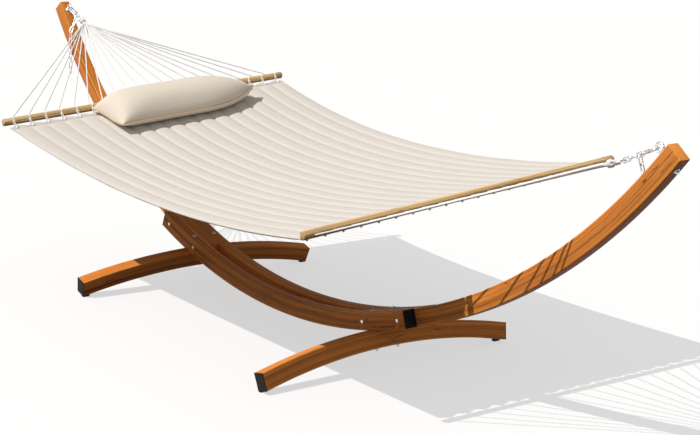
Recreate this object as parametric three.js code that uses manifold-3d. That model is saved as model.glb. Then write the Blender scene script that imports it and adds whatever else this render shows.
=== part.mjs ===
// Arched wooden hammock stand with a quilted spreader-bar hammock and a pillow.
// Millimetres, +Z up. X runs along the stand, Y across it, and z = 0 is the floor.
// The two long rails, the two arms and the cross feet are strips of the same glued arc.
import * as THREE from 'three';
import { mergeVertices } from 'three/addons/utils/BufferGeometryUtils.js';
import Module from 'manifold-3d';

const wasm = await Module();
wasm.setup();

// ---------------------------------------------------------------- driving dimensions
const GAP = 0.3;                     // play left between touching pieces
const SEAT = 0.3;                    // how far a flat seat stands off a curved face

const ARC_INNER = 2512;              // radius of the upper face of rails and arms
const BEAM_DEPTH = 70;               // depth of every beam, measured along the radius
const ARM_WIDTH = 47.4;
const RAIL_WIDTH = 55;
const RAIL_END = 19.9;               // degrees from the bottom of the arc
const ARM_START = 12.9;
const ARM_TIP = 52.6;

const FOOT_ANGLE = 14.9;
const FOOT_LENGTH = 1200;
const FOOT_WIDTH = 55;
const FOOT_RADIUS = 2540;            // crown radius of the cross feet
const FOOT_END_TILT = 8;             // degrees, the foot's end cut leans in below
const PLATE_THICK = 2.5;             // black plates that seal the end grain
const PAD_WIDTH = 16;
const PAD_LENGTH = 30;
const PAD_LIFT = 1.5;                  // height of the wood's lowest edge above the floor

const SHANK_RADIUS = 4;
const HOLE_RADIUS = 4.7;
const SINK_RADIUS = 11;              // counterbore of the side bolts
const SINK_DEPTH = 8;
const SIDE_BOLT_ANGLES = [14.0, 18.9];
const WASHER_THICK = 1.6;
const NUT_HEIGHT = 6.5;
const HEX_RADIUS = 7.5;              // corner radius of an M8 nut

const EYE_ANGLE = 51.5;
const EYE_RADIUS = 15;               // centreline radius of the eye
const EYE_WIRE = 8;
const EYE_STANDOFF = 25;             // eye centre above the arm's upper face

const LINK_WIRE = 5;
const LINK_INSIDE = 29;              // inside length of a chain link, so its pitch
const LINK_INNER_WIDTH = 9;
const QUICK_WIRE = 7;
const QUICK_INSIDE = 61;
const QUICK_INNER_WIDTH = 16;
const RING_RADIUS = 20;              // centreline radius of the harness ring
const RING_WIRE = 6;

const BAR_LENGTH = 1475;
const BAR_RADIUS = 16;
const HAMMOCK_ROLL = 4.87;           // degrees, the -Y side hangs lower
const CORD_COUNT = 19;
const CORD_PITCH = 77;
const CORD_RADIUS = 3;
const CORD_HOLE_RADIUS = 3.9;
const CLEW_LENGTH = 62;              // plaited stretch of the cords next to the ring

const BED_WIDTH = 1440;
const BED_THICK = 14;
const BED_SAG = 135;
const BED_EDGE_SAG = 125;
const BED_SKEW = -0.25;              // the bed is a little deeper towards the head
const BED_PULL_IN = [65, 5];         // waist of the -Y and the +Y edge
const HEM_SETBACK = 30;              // bar axis to the edge of the bed
const HEM_DROP = 22;
const DOWEL_RADIUS = 4;
const DOWEL_INSET = 8;               // hem edge to dowel axis

const PILLOW_FRONT = 315;            // bar axis to the pillow's front edge
const PILLOW_BACK = 20;              // bar axis to its back edge
const PILLOW_TAPER = 130;            // both edges draw in at the rounded +Y end
const PILLOW_LENGTH = 800;
const PILLOW_HEIGHT = 132;
const PILLOW_OFFSET = 80;            // towards +Y

// ---------------------------------------------------------------- materials
const finishes = {
  wood: { color: 0xb5692f, roughness: 0.55, metalness: 0 },
  endPlate: { color: 0x1d1b19, roughness: 0.6, metalness: 0 },
  steel: { color: 0xc2c6c9, roughness: 0.3, metalness: 1 },
  barWood: { color: 0xdcbd85, roughness: 0.5, metalness: 0 },
  cord: { color: 0xf4f2ee, roughness: 0.85, metalness: 0 },
  quilt: { color: 0xece4da, roughness: 0.95, metalness: 0 },
  pillow: { color: 0xefe7dc, roughness: 0.95, metalness: 0 },
};

const stand = new THREE.Group();

function addMesh(name, finish, geometry, parent = stand) {
  const mesh = new THREE.Mesh(geometry, new THREE.MeshStandardMaterial(finishes[finish]));
  mesh.name = name;
  parent.add(mesh);
  return mesh;
}

// ---------------------------------------------------------------- solids
function toSolid(geometry) {
  let bare = geometry.clone();
  bare.deleteAttribute('normal');
  bare.deleteAttribute('uv');
  bare = mergeVertices(bare, 1e-4);
  return new wasm.Manifold(new wasm.Mesh({
    numProp: 3,
    vertProperties: Float32Array.from(bare.attributes.position.array),
    triVerts: Uint32Array.from(bare.index.array),
  }));
}

function toGeometry(solid) {
  const mesh = solid.getMesh();
  const geometry = new THREE.BufferGeometry();
  geometry.setAttribute('position', new THREE.BufferAttribute(mesh.vertProperties, 3));
  geometry.setIndex(new THREE.BufferAttribute(mesh.triVerts, 1));
  geometry.computeVertexNormals();
  return geometry;
}

function join(geometries) {
  return toGeometry(geometries.map(toSolid).reduce((all, next) => all.add(next)));
}

function cut(geometry, tools) {
  return toGeometry(tools.map(toSolid).reduce((left, tool) => left.subtract(tool), toSolid(geometry)));
}

const radians = THREE.MathUtils.degToRad;
const AXIS_X = new THREE.Vector3(1, 0, 0);
const AXIS_Y = new THREE.Vector3(0, 1, 0);
const AXIS_Z = new THREE.Vector3(0, 0, 1);

function rod(from, to, radius, sides, endRadius = radius) {
  const way = to.clone().sub(from);
  const geometry = new THREE.CylinderGeometry(endRadius, radius, way.length(), sides);
  const turn = new THREE.Quaternion().setFromUnitVectors(AXIS_Y, way.clone().normalize());
  geometry.applyQuaternion(turn);
  return geometry.translate(...from.clone().add(to).multiplyScalar(0.5).toArray());
}

function place(geometry, xAxis, yAxis, zAxis, origin) {
  const matrix = new THREE.Matrix4().makeBasis(xAxis, yAxis, zAxis).setPosition(origin);
  return geometry.applyMatrix4(matrix);
}

// A closed surface from a grid of top points and a grid of bottom points.
function slab(columns, rows, pointAt) {
  const points = [];
  const faces = [];
  const index = (layer, i, j) => layer * (columns + 1) * (rows + 1) + i * (rows + 1) + j;
  const quad = (a, b, c, d) => faces.push(a, b, c, a, c, d);
  for (const layer of [0, 1]) {
    for (let i = 0; i <= columns; i += 1) {
      for (let j = 0; j <= rows; j += 1) {
        points.push(...pointAt(i / columns, j / rows, layer).toArray());
      }
    }
  }
  for (let i = 0; i < columns; i += 1) {
    for (let j = 0; j < rows; j += 1) {
      quad(index(1, i, j), index(1, i + 1, j), index(1, i + 1, j + 1), index(1, i, j + 1));
      quad(index(0, i, j), index(0, i, j + 1), index(0, i + 1, j + 1), index(0, i + 1, j));
    }
    quad(index(0, i, 0), index(0, i + 1, 0), index(1, i + 1, 0), index(1, i, 0));
    quad(index(0, i, rows), index(1, i, rows), index(1, i + 1, rows), index(0, i + 1, rows));
  }
  for (let j = 0; j < rows; j += 1) {
    quad(index(0, 0, j), index(1, 0, j), index(1, 0, j + 1), index(0, 0, j + 1));
    quad(index(0, columns, j), index(0, columns, j + 1), index(1, columns, j + 1), index(1, columns, j));
  }
  const geometry = new THREE.BufferGeometry();
  geometry.setAttribute('position', new THREE.Float32BufferAttribute(points, 3));
  geometry.setIndex(faces);
  geometry.computeVertexNormals();
  return geometry;
}

// ---------------------------------------------------------------- the arc
const ARC_OUTER = ARC_INNER + BEAM_DEPTH;
const ARC_MIDDLE = ARC_INNER + BEAM_DEPTH / 2;

// Unit vectors at a station of the arc, counted in degrees from its lowest point.
function outward(angle) {
  return new THREE.Vector3(Math.sin(radians(angle)), 0, -Math.cos(radians(angle)));
}

function along(angle) {
  return new THREE.Vector3(Math.cos(radians(angle)), 0, Math.sin(radians(angle)));
}

// Local profile of a cross foot: y across the stand and z towards the arc's centre.
const footDrop = (y) => FOOT_RADIUS - Math.sqrt(FOOT_RADIUS ** 2 - y ** 2);
const FOOT_INNER = FOOT_RADIUS - BEAM_DEPTH;
const FOOT_BOTTOM_HALF = FOOT_LENGTH / 2 - BEAM_DEPTH * Math.tan(radians(FOOT_END_TILT));
const FOOT_BOTTOM_DROP = FOOT_RADIUS - Math.sqrt(FOOT_INNER ** 2 - FOOT_BOTTOM_HALF ** 2);

// The lowest wood is the foot's bottom edge nearest the middle, at its ends.
const LOWEST_BELOW_CENTRE = (ARC_OUTER + GAP + FOOT_BOTTOM_DROP) * Math.cos(radians(FOOT_ANGLE))
  + (FOOT_WIDTH / 2) * Math.sin(radians(FOOT_ANGLE));
const ARC_CENTRE = new THREE.Vector3(0, 0, LOWEST_BELOW_CENTRE + PAD_LIFT);

function arcPoint(radius, angle, y = 0) {
  return ARC_CENTRE.clone().addScaledVector(outward(angle), radius).setY(y);
}

// A curved beam between two stations, from yLow to yHigh across the stand.
function arcBeam(startAngle, endAngle, yLow, yHigh, segments) {
  const shape = new THREE.Shape();
  const start = radians(startAngle - 90);
  const end = radians(endAngle - 90);
  shape.absarc(0, 0, ARC_OUTER, start, end, false);
  shape.absarc(0, 0, ARC_INNER, end, start, true);
  const options = { depth: yHigh - yLow, bevelEnabled: false, curveSegments: segments };
  const geometry = new THREE.ExtrudeGeometry(shape, options);
  const origin = ARC_CENTRE.clone().setY(yHigh);
  return place(geometry, AXIS_X, AXIS_Z, AXIS_Y.clone().negate(), origin);
}

const ARM_HALF = ARM_WIDTH / 2;
const RAIL_INSIDE = ARM_HALF + GAP;
const RAIL_OUTSIDE = RAIL_INSIDE + RAIL_WIDTH;
const RAIL_MIDDLE = (RAIL_INSIDE + RAIL_OUTSIDE) / 2;

// ---------------------------------------------------------------- wooden stand
function sideHole(angle, reach, radius, from = -reach) {
  return rod(arcPoint(ARC_MIDDLE, angle, from), arcPoint(ARC_MIDDLE, angle, reach), radius, 8);
}

function radialHole(angle, y, radius, from, to) {
  return rod(arcPoint(from, angle, y), arcPoint(to, angle, y), radius, 8);
}

const sideAngles = SIDE_BOLT_ANGLES.flatMap((angle) => [-angle, angle]);

function makeRail(name, side) {
  const low = Math.min(side * RAIL_INSIDE, side * RAIL_OUTSIDE);
  const beam = arcBeam(-RAIL_END, RAIL_END, low, low + RAIL_WIDTH, 26);
  const tools = sideAngles.map((angle) => sideHole(angle, 200, HOLE_RADIUS));
  for (const angle of sideAngles) {
    const sinkFrom = side * (RAIL_OUTSIDE - SINK_DEPTH);
    tools.push(sideHole(angle, side * 200, SINK_RADIUS, sinkFrom));
  }
  for (const angle of [-FOOT_ANGLE, FOOT_ANGLE]) {
    tools.push(radialHole(angle, side * RAIL_MIDDLE, HOLE_RADIUS, ARC_INNER - 50, ARC_OUTER + 50));
  }
  addMesh(name, 'wood', cut(beam, tools));
}

function makeArm(name, sign) {
  const angles = [sign * ARM_START, sign * ARM_TIP].sort((a, b) => a - b);
  const beam = arcBeam(angles[0], angles[1], -ARM_HALF, ARM_HALF, 26);
  const tools = SIDE_BOLT_ANGLES.map((angle) => sideHole(sign * angle, 200, HOLE_RADIUS));
  tools.push(radialHole(sign * EYE_ANGLE, 0, HOLE_RADIUS, ARC_INNER - 50, ARC_OUTER + 50));
  addMesh(name, 'wood', cut(beam, tools));
}

function footProfile(half, topRadius, bottomRadius, bottomHalf) {
  const shape = new THREE.Shape();
  const topAngle = Math.asin(half / topRadius);
  const bottomAngle = Math.asin(bottomHalf / bottomRadius);
  shape.absarc(0, -FOOT_RADIUS, topRadius, Math.PI / 2 - topAngle, Math.PI / 2 + topAngle, false);
  shape.absarc(0, -FOOT_RADIUS, bottomRadius, Math.PI / 2 + bottomAngle, Math.PI / 2 - bottomAngle, true);
  return shape;
}

// Extrudes a shape of the foot's (y, z) profile plane along the foot's width.
function footExtrude(shape, width, from = -width / 2) {
  const options = { depth: width, bevelEnabled: false, curveSegments: 20 };
  const geometry = new THREE.ExtrudeGeometry(shape, options);
  return place(geometry, AXIS_Y, AXIS_Z, AXIS_X, new THREE.Vector3(from, 0, 0));
}

const footTop = (sign) => arcPoint(ARC_OUTER + GAP, sign * FOOT_ANGLE);

function footGroup(sign) {
  const group = new THREE.Group();
  group.position.copy(footTop(sign));
  group.rotation.y = -sign * radians(FOOT_ANGLE);
  stand.add(group);
  return group;
}

function makeFoot(name, sign) {
  const group = footGroup(sign);
  const beam = footExtrude(
    footProfile(FOOT_LENGTH / 2, FOOT_RADIUS, FOOT_INNER, FOOT_BOTTOM_HALF), FOOT_WIDTH);
  const holes = [-RAIL_MIDDLE, RAIL_MIDDLE].map((y) => rod(
    new THREE.Vector3(0, y, -BEAM_DEPTH - 30), new THREE.Vector3(0, y, 30), HOLE_RADIUS, 8));
  addMesh(name, 'wood', cut(beam, holes), group);
  for (const side of [-1, 1]) {
    makeFootCap(`${name}_cap_${side < 0 ? 'front' : 'back'}`, sign, side, group);
  }
}

// A black end plate with a narrow level pad, which is what stands on the floor.
function makeFootCap(name, sign, side, group) {
  const tilt = radians(FOOT_END_TILT);
  const outer = FOOT_LENGTH / 2 + GAP / Math.cos(tilt);
  const topDrop = footDrop(FOOT_LENGTH / 2);
  const plate = new THREE.Shape();
  const lean = (depth) => outer - (depth - topDrop) * Math.tan(tilt);
  const low = topDrop + BEAM_DEPTH;
  plate.moveTo(lean(topDrop), -topDrop);
  plate.lineTo(lean(low), -low);
  plate.lineTo(lean(low) + PLATE_THICK, -low);
  plate.lineTo(lean(topDrop) + PLATE_THICK, -topDrop);
  const plateSolid = toSolid(footExtrude(plate, FOOT_WIDTH));

  // The pad fills the wedge between the wood's inner bottom edge and the floor.
  const toFloor = new THREE.Matrix4().makeRotationY(sign * radians(FOOT_ANGLE));
  toFloor.multiply(new THREE.Matrix4().makeTranslation(...footTop(sign).negate().toArray()));
  const edge = arcPoint(ARC_OUTER + GAP + FOOT_BOTTOM_DROP, sign * FOOT_ANGLE)
    .addScaledVector(along(sign * FOOT_ANGLE), -sign * FOOT_WIDTH / 2);
  const padHeight = 14;
  const pad = new THREE.BoxGeometry(PAD_WIDTH, PAD_LENGTH, padHeight);
  const padOuter = FOOT_BOTTOM_HALF + PLATE_THICK + GAP;
  pad.translate(edge.x + sign * PAD_WIDTH / 2, padOuter - PAD_LENGTH / 2, padHeight / 2);
  pad.applyMatrix4(toFloor);
  const keepOut = footProfile(
    FOOT_LENGTH / 2 + GAP, FOOT_RADIUS, FOOT_INNER - GAP, FOOT_BOTTOM_HALF + GAP);
  const wood = footExtrude(keepOut, FOOT_WIDTH + 40);
  let solid = toSolid(pad).subtract(toSolid(wood)).add(plateSolid);
  if (side < 0) solid = solid.mirror([0, 1, 0]);
  addMesh(name, 'endPlate', toGeometry(solid), group);
}

function makeRailPlate(name, sign, side) {
  const step = GAP + PLATE_THICK / 2;
  const plate = new THREE.BoxGeometry(PLATE_THICK, RAIL_WIDTH, BEAM_DEPTH);
  const end = sign * RAIL_END;
  const origin = arcPoint(ARC_MIDDLE, end, side * RAIL_MIDDLE).addScaledVector(along(end), sign * step);
  addMesh(name, 'endPlate', place(plate, along(end), AXIS_Y, outward(end).negate(), origin));
}

// ---------------------------------------------------------------- fasteners
// A nut with its washer on a shank that points along `way` from the seat.
function makeNut(name, seat, way) {
  const at = (distance) => seat.clone().addScaledVector(way, distance);
  const washer = rod(at(GAP), at(GAP + WASHER_THICK), 10, 12);
  const nut = rod(at(GAP + WASHER_THICK - 0.1), at(GAP + WASHER_THICK + NUT_HEIGHT), HEX_RADIUS, 6);
  const bore = rod(at(-5), at(30), HOLE_RADIUS, 8);
  const solid = toSolid(washer).add(toSolid(nut)).subtract(toSolid(bore));
  addMesh(name, 'steel', toGeometry(solid));
}

function makeSideBolt(name, angle) {
  const seat = RAIL_OUTSIDE - SINK_DEPTH;
  const at = (y) => arcPoint(ARC_MIDDLE, angle, y);
  const washer = rod(at(-seat - GAP), at(-seat - GAP - WASHER_THICK), 10, 12);
  const head = rod(at(-seat - GAP - WASHER_THICK + 0.1), at(-seat - GAP - WASHER_THICK - 5.3), HEX_RADIUS, 6);
  const shank = rod(at(-seat - 1), at(seat + GAP + WASHER_THICK + NUT_HEIGHT), SHANK_RADIUS, 8);
  addMesh(`side_bolt_${name}`, 'steel', join([washer, head, shank]));
  makeNut(`side_nut_${name}`, at(seat), AXIS_Y);
}

// A coach bolt through rail and foot, its domed head on the rail.
function makeFootBolt(name, sign, side) {
  const angle = sign * FOOT_ANGLE;
  const y = side * RAIL_MIDDLE;
  const seat = ARC_OUTER + GAP + BEAM_DEPTH + footDrop(RAIL_MIDDLE + 10) + SEAT;
  const headRadius = 9;
  const headHeight = 5;
  const dome = [new THREE.Vector2(0, 0), new THREE.Vector2(headRadius, 0),
    new THREE.Vector2(headRadius * 0.92, headHeight * 0.4),
    new THREE.Vector2(headRadius * 0.6, headHeight * 0.82), new THREE.Vector2(0, headHeight)];
  const head = new THREE.LatheGeometry(dome, 12);
  const inward = outward(angle).negate();
  const headSeat = arcPoint(ARC_INNER - SEAT - GAP, angle, y);
  place(head, along(angle), inward, along(angle).cross(inward), headSeat);
  const end = seat + GAP + WASHER_THICK + NUT_HEIGHT + 4;
  const shank = rod(arcPoint(ARC_INNER - SEAT - GAP - 1, angle, y), arcPoint(end, angle, y), SHANK_RADIUS, 8);
  addMesh(`foot_bolt_${name}`, 'steel', join([head, shank]));
  makeNut(`foot_nut_${name}`, arcPoint(seat, angle, y), outward(angle));
}

const eyeCentre = (sign) => arcPoint(ARC_INNER - EYE_STANDOFF, sign * EYE_ANGLE);

function makeEyeBolt(name, sign) {
  const angle = sign * EYE_ANGLE;
  const eye = new THREE.TorusGeometry(EYE_RADIUS, EYE_WIRE / 2, 6, 18);
  place(eye, AXIS_X, AXIS_Z, AXIS_Y.clone().negate(), eyeCentre(sign));
  const neckFrom = arcPoint(ARC_INNER - EYE_STANDOFF + EYE_RADIUS, angle);
  const shankEnd = ARC_OUTER + GAP + WASHER_THICK + NUT_HEIGHT + 4;
  const shank = rod(neckFrom, arcPoint(shankEnd, angle), SHANK_RADIUS, 8);
  const collar = rod(arcPoint(ARC_INNER - SEAT - 3.3, angle), arcPoint(ARC_INNER - SEAT - GAP, angle), 10, 12);
  addMesh(`eye_bolt_${name}`, 'steel', join([eye, shank, collar]));
  makeNut(`eye_nut_${name}`, arcPoint(ARC_OUTER, angle), outward(angle));
}

// ---------------------------------------------------------------- chain
// A long wire loop in the plane of `way` and `across`; `start` is the centre of its first bow.
function wireLoop(start, way, across, inside, innerWidth, wire, sides, bowSteps) {
  const bow = (innerWidth + wire) / 2;
  const straight = inside + wire - 2 * bow;
  const path = new THREE.CurvePath();
  const arc = (centre, from) => {
    const points = [];
    for (let i = 0; i <= bowSteps; i += 1) {
      const turn = from + (Math.PI * i) / bowSteps;
      points.push(new THREE.Vector3(centre + bow * Math.cos(turn), bow * Math.sin(turn), 0));
    }
    return points;
  };
  const outline = [...arc(straight, -Math.PI / 2), ...arc(0, Math.PI / 2)];
  const section = Array.from({ length: sides }, (unused, i) => {
    const turn = (2 * Math.PI * (i + 0.5)) / sides;
    return [Math.cos(turn) * (wire / 2), Math.sin(turn) * (wire / 2)];
  });
  return place(sweepLoop(outline, section), way, across, way.clone().cross(across),
    start.clone().addScaledVector(way, bow));
}

// Sweeps a section round a closed flat outline.
function sweepLoop(outline, section) {
  const points = [];
  const faces = [];
  const count = outline.length;
  const sides = section.length;
  outline.forEach((point, i) => {
    const before = outline[(i + count - 1) % count];
    const after = outline[(i + 1) % count];
    const heading = after.clone().sub(before).normalize();
    const side = new THREE.Vector3(heading.y, -heading.x, 0);
    for (const [u, v] of section) {
      points.push(point.x + side.x * u, point.y + side.y * u, v);
    }
  });
  for (let i = 0; i < count; i += 1) {
    for (let k = 0; k < sides; k += 1) {
      const a = i * sides + k;
      const b = i * sides + ((k + 1) % sides);
      const c = ((i + 1) % count) * sides + ((k + 1) % sides);
      const d = ((i + 1) % count) * sides + k;
      faces.push(a, c, b, a, d, c);
    }
  }
  const geometry = new THREE.BufferGeometry();
  geometry.setAttribute('position', new THREE.Float32BufferAttribute(points, 3));
  geometry.setIndex(faces);
  geometry.computeVertexNormals();
  return geometry;
}

const chainLink = (start, way, across, bowSteps = 6) => wireLoop(
  start, way, across, LINK_INSIDE, LINK_INNER_WIDTH, LINK_WIRE, 6, bowSteps);

// Chain line of one end: its eye, its direction and the links that carry the hammock.
const chainEnds = {
  head: { sign: -1, slope: 21.4, carrying: 1, tail: 10, tailSide: -1, bar: { x: -1086, y: -31, z: 771.5 } },
  foot: { sign: 1, slope: 25.9, carrying: 3, tail: 6, tailSide: 1, bar: { x: 1060, y: 31, z: 754 } },
};

for (const end of Object.values(chainEnds)) {
  const slope = radians(end.slope);
  end.way = new THREE.Vector3(-end.sign * Math.cos(slope), 0, -Math.sin(slope));
  end.upright = new THREE.Vector3(-end.sign * Math.sin(slope), 0, Math.cos(slope));
  end.eye = eyeCentre(end.sign);
  end.at = (distance) => end.eye.clone().addScaledVector(end.way, distance);
}

function makeQuickLink(name, end) {
  const start = EYE_RADIUS - EYE_WIRE / 2 - GAP - QUICK_WIRE / 2;
  const loop = wireLoop(end.at(start), end.way, AXIS_Y, QUICK_INSIDE, QUICK_INNER_WIDTH, QUICK_WIRE, 6, 6);
  const leg = -(QUICK_INNER_WIDTH + QUICK_WIRE) / 2;
  const sleeve = rod(end.at(start + 26).setY(leg), end.at(start + 48).setY(leg), 5.6, 6);
  addMesh(`quick_link_${name}`, 'steel', join([loop, sleeve]));
  return start + QUICK_INSIDE + QUICK_WIRE;
}

function makeCarryingLinks(name, end, bowAt) {
  let outerWire = QUICK_WIRE;
  let lastBow = bowAt;
  for (let i = 0; i < end.carrying; i += 1) {
    const start = lastBow - outerWire / 2 - GAP - LINK_WIRE / 2;
    const across = i % 2 === 0 ? end.upright : AXIS_Y;
    addMesh(`chain_${name}_${i + 1}`, 'steel', chainLink(end.at(start), end.way, across));
    if (i === 0) end.firstLink = start;
    lastBow = start + LINK_INSIDE + LINK_WIRE;
    outerWire = LINK_WIRE;
  }
  return lastBow;
}

// The spare chain hangs from the first link and lies against the side of the arm.
function makeTail(name, end) {
  const lean = radians(24.4);
  const leaning = 3;
  const overlap = 1.5;
  const leg = (LINK_INNER_WIDTH + LINK_WIRE) / 2;
  const hookAt = end.at(end.firstLink + LINK_INSIDE / 2 + LINK_WIRE / 2 + 2);
  hookAt.addScaledVector(end.upright, -leg);
  const leanWay = new THREE.Vector3(0, end.tailSide * Math.sin(lean), -Math.cos(lean));
  const leanAcross = new THREE.Vector3(0, -leanWay.z, leanWay.y);
  const down = AXIS_Z.clone().negate();
  const links = [];
  let start = hookAt.addScaledVector(leanWay, -(LINK_WIRE + 2 * GAP));
  end.hook = hookAt.clone();
  for (let i = 0; i < end.tail; i += 1) {
    const way = i < leaning ? leanWay : down;
    const flat = i < leaning ? leanAcross : AXIS_Y;
    links.push(chainLink(start, way, i % 2 === 0 ? flat : AXIS_X, i === 0 ? 6 : 3));
    start = start.clone().addScaledVector(way, LINK_INSIDE + overlap);
  }
  addMesh(`chain_tail_${name}`, 'steel', join(links));
}

// ---------------------------------------------------------------- hammock
const rollAngle = radians(HAMMOCK_ROLL);
const ROLLED_Y = new THREE.Vector3(0, Math.cos(rollAngle), Math.sin(rollAngle));
const ROLLED_Z = new THREE.Vector3(0, -Math.sin(rollAngle), Math.cos(rollAngle));

// A point near a spreader bar: `out` towards the ring, `y` along the bar, `z` above its axis.
function barPoint(end, out, y, z) {
  const origin = new THREE.Vector3(end.bar.x, end.bar.y, end.bar.z);
  return origin.addScaledVector(AXIS_X, end.sign * out).addScaledVector(ROLLED_Y, y).addScaledVector(ROLLED_Z, z);
}

const cordOffsets = Array.from({ length: CORD_COUNT }, (unused, i) => (i - (CORD_COUNT - 1) / 2) * CORD_PITCH);

function makeBar(name, end) {
  const bar = rod(barPoint(end, 0, -BAR_LENGTH / 2, 0), barPoint(end, 0, BAR_LENGTH / 2, 0), BAR_RADIUS, 16);
  const holes = cordOffsets.map((y) => rod(
    barPoint(end, -30, y, 0), barPoint(end, 30, y, 0), CORD_HOLE_RADIUS, 6));
  addMesh(`spreader_bar_${name}`, 'barWood', cut(bar, holes));
}

// One cord through the given points, square in section, its corners mitred.
function cordRun(points) {
  const sides = 4;
  const positions = [];
  const faces = [];
  points.forEach((point, i) => {
    const before = points[Math.max(i - 1, 0)];
    const after = points[Math.min(i + 1, points.length - 1)];
    const heading = after.clone().sub(before).normalize();
    const side = heading.clone().cross(ROLLED_Z).normalize();
    const top = side.clone().cross(heading);
    for (let k = 0; k < sides; k += 1) {
      const turn = (2 * Math.PI * (k + 0.5)) / sides;
      const corner = point.clone().addScaledVector(side, CORD_RADIUS * Math.cos(turn));
      positions.push(...corner.addScaledVector(top, CORD_RADIUS * Math.sin(turn)).toArray());
    }
  });
  for (let i = 0; i + 1 < points.length; i += 1) {
    for (let k = 0; k < sides; k += 1) {
      const a = i * sides + k;
      const b = i * sides + ((k + 1) % sides);
      faces.push(a, b + sides, b, a, a + sides, b + sides);
    }
  }
  const last = (points.length - 1) * sides;
  faces.push(0, 1, 2, 0, 2, 3, last, last + 2, last + 1, last, last + 3, last + 2);
  const geometry = new THREE.BufferGeometry();
  geometry.setAttribute('position', new THREE.Float32BufferAttribute(positions, 3));
  geometry.setIndex(faces);
  geometry.computeVertexNormals();
  return geometry;
}

function makeHarness(name, end, bowAt) {
  const ringWireAt = bowAt - LINK_WIRE / 2 - GAP - RING_WIRE / 2;
  const barCentre = barPoint(end, 0, 0, 0).setY(0);
  const pull = barCentre.clone().sub(end.at(ringWireAt)).normalize();
  const ringCentre = end.at(ringWireAt).addScaledVector(pull, RING_RADIUS);
  const ring = new THREE.TorusGeometry(RING_RADIUS, RING_WIRE / 2, 6, 18);
  place(ring, pull, AXIS_Y, pull.clone().cross(AXIS_Y), ringCentre);
  addMesh(`harness_ring_${name}`, 'steel', ring);

  const clewStart = RING_RADIUS + RING_WIRE / 2 + GAP;
  const clewAt = (distance, y) => ringCentre.clone().addScaledVector(pull, distance).setY(y);
  const upright = pull.clone().cross(AXIS_Y);
  const clew = new THREE.Shape();
  clew.moveTo(clewStart, -9);
  clew.lineTo(clewStart + CLEW_LENGTH, -26);
  clew.lineTo(clewStart + CLEW_LENGTH, 26);
  clew.lineTo(clewStart, 9);
  const clewSolid = new THREE.ExtrudeGeometry(clew, { depth: 9, bevelEnabled: false });
  place(clewSolid, pull, AXIS_Y, upright, ringCentre.clone().addScaledVector(upright, -4.5));
  const pieces = [clewSolid];
  const last = (CORD_COUNT - 1) / 2;
  cordOffsets.forEach((y, i) => {
    const from = clewAt(clewStart + CLEW_LENGTH - 6, ((i - last) / last) * 22);
    const entry = barPoint(end, BAR_RADIUS + 4, y, 0);
    const exit = barPoint(end, -BAR_RADIUS - 2, y, 0);
    const hem = barPoint(end, -HEM_SETBACK + 2.4, y, 6 - HEM_DROP);
    pieces.push(cordRun([from, entry, exit, hem]));
  });
  addMesh(`cords_${name}`, 'cord', join(pieces));
}

// The bed hangs between the two hems: across -1..1, lengthways 0 at the head and 1 at the foot.
function bedPoint(across, lengthways, height) {
  const { head, foot } = chainEnds;
  const half = (across * BED_WIDTH) / 2;
  const from = barPoint(head, -HEM_SETBACK, half, -HEM_DROP);
  const to = barPoint(foot, -HEM_SETBACK, half, -HEM_DROP);
  const bow = 4 * lengthways * (1 - lengthways) * (1 + BED_SKEW * (lengthways - 0.5));
  const sag = BED_SAG + (BED_EDGE_SAG - BED_SAG) * across ** 2;
  const waist = -Math.sign(across) * BED_PULL_IN[across < 0 ? 0 : 1] * Math.abs(across) ** 1.5;
  return from.lerp(to, lengthways).addScaledVector(ROLLED_Y, waist * bow)
    .addScaledVector(ROLLED_Z, height - sag * bow);
}

function makeDowel(name, end) {
  const inset = -HEM_SETBACK - DOWEL_INSET;
  const reach = BED_WIDTH / 2 - 3;
  const lift = dowelLift(end);
  const at = (y) => barPoint(end, inset, y, -HEM_DROP + lift);
  addMesh(`hem_dowel_${name}`, 'barWood', rod(at(-reach), at(reach), DOWEL_RADIUS, 12));
  return rod(at(-BED_WIDTH), at(BED_WIDTH), DOWEL_RADIUS + GAP, 12);
}

// Height of the bed's middle surface above the hem line, where the dowel lies.
function dowelLift(end) {
  const hem = bedPoint(0, end.sign > 0 ? 1 : 0, 0);
  const length = chainEnds.foot.bar.x - chainEnds.head.bar.x - 2 * HEM_SETBACK;
  const step = DOWEL_INSET / length;
  const inner = bedPoint(0, end.sign > 0 ? 1 - step : step, 0);
  return inner.z - hem.z;
}

function makeBed() {
  const bores = [makeDowel('head', chainEnds.head), makeDowel('foot', chainEnds.foot)];
  const bed = slab(18, 4, (lengthways, across, layer) => (
    bedPoint(across * 2 - 1, lengthways, (layer - 0.5) * BED_THICK)));
  addMesh('bed', 'quilt', cut(bed, bores));
}

function makePillow() {
  const { head, foot } = chainEnds;
  const length = foot.bar.x - head.bar.x - 2 * HEM_SETBACK;
  const clearance = 2;
  const pillow = slab(8, 12, (u, v, layer) => {
    const a = u * 2 - 1;
    const b = v * 2 - 1;
    const fullness = (1 - a ** 4) ** 0.5 * (1 - b ** 6) ** 0.5;
    const taper = PILLOW_TAPER * Math.max(0, (b - 0.1) / 0.9) ** 2.3;
    const setback = PILLOW_BACK + taper
      + (PILLOW_FRONT - PILLOW_BACK - 2 * taper) * u - HEM_SETBACK;
    const wide = (PILLOW_LENGTH / 2) * b * (1 - 0.03 * (1 - a ** 2));
    const across = (PILLOW_OFFSET + wide) / (BED_WIDTH / 2);
    const base = BED_THICK / 2 + clearance;
    const seam = base + 14;
    const height = layer === 1 ? seam + 4 + (PILLOW_HEIGHT - 18) * fullness : seam - 14 * fullness;
    return bedPoint(across, setback / length, height);
  });
  addMesh('pillow', 'pillow', pillow);
}

// ---------------------------------------------------------------- assembly
makeRail('rail_front', -1);
makeRail('rail_back', 1);
makeArm('arm_head', -1);
makeArm('arm_foot', 1);
makeFoot('foot_beam_head', -1);
makeFoot('foot_beam_foot', 1);

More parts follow.
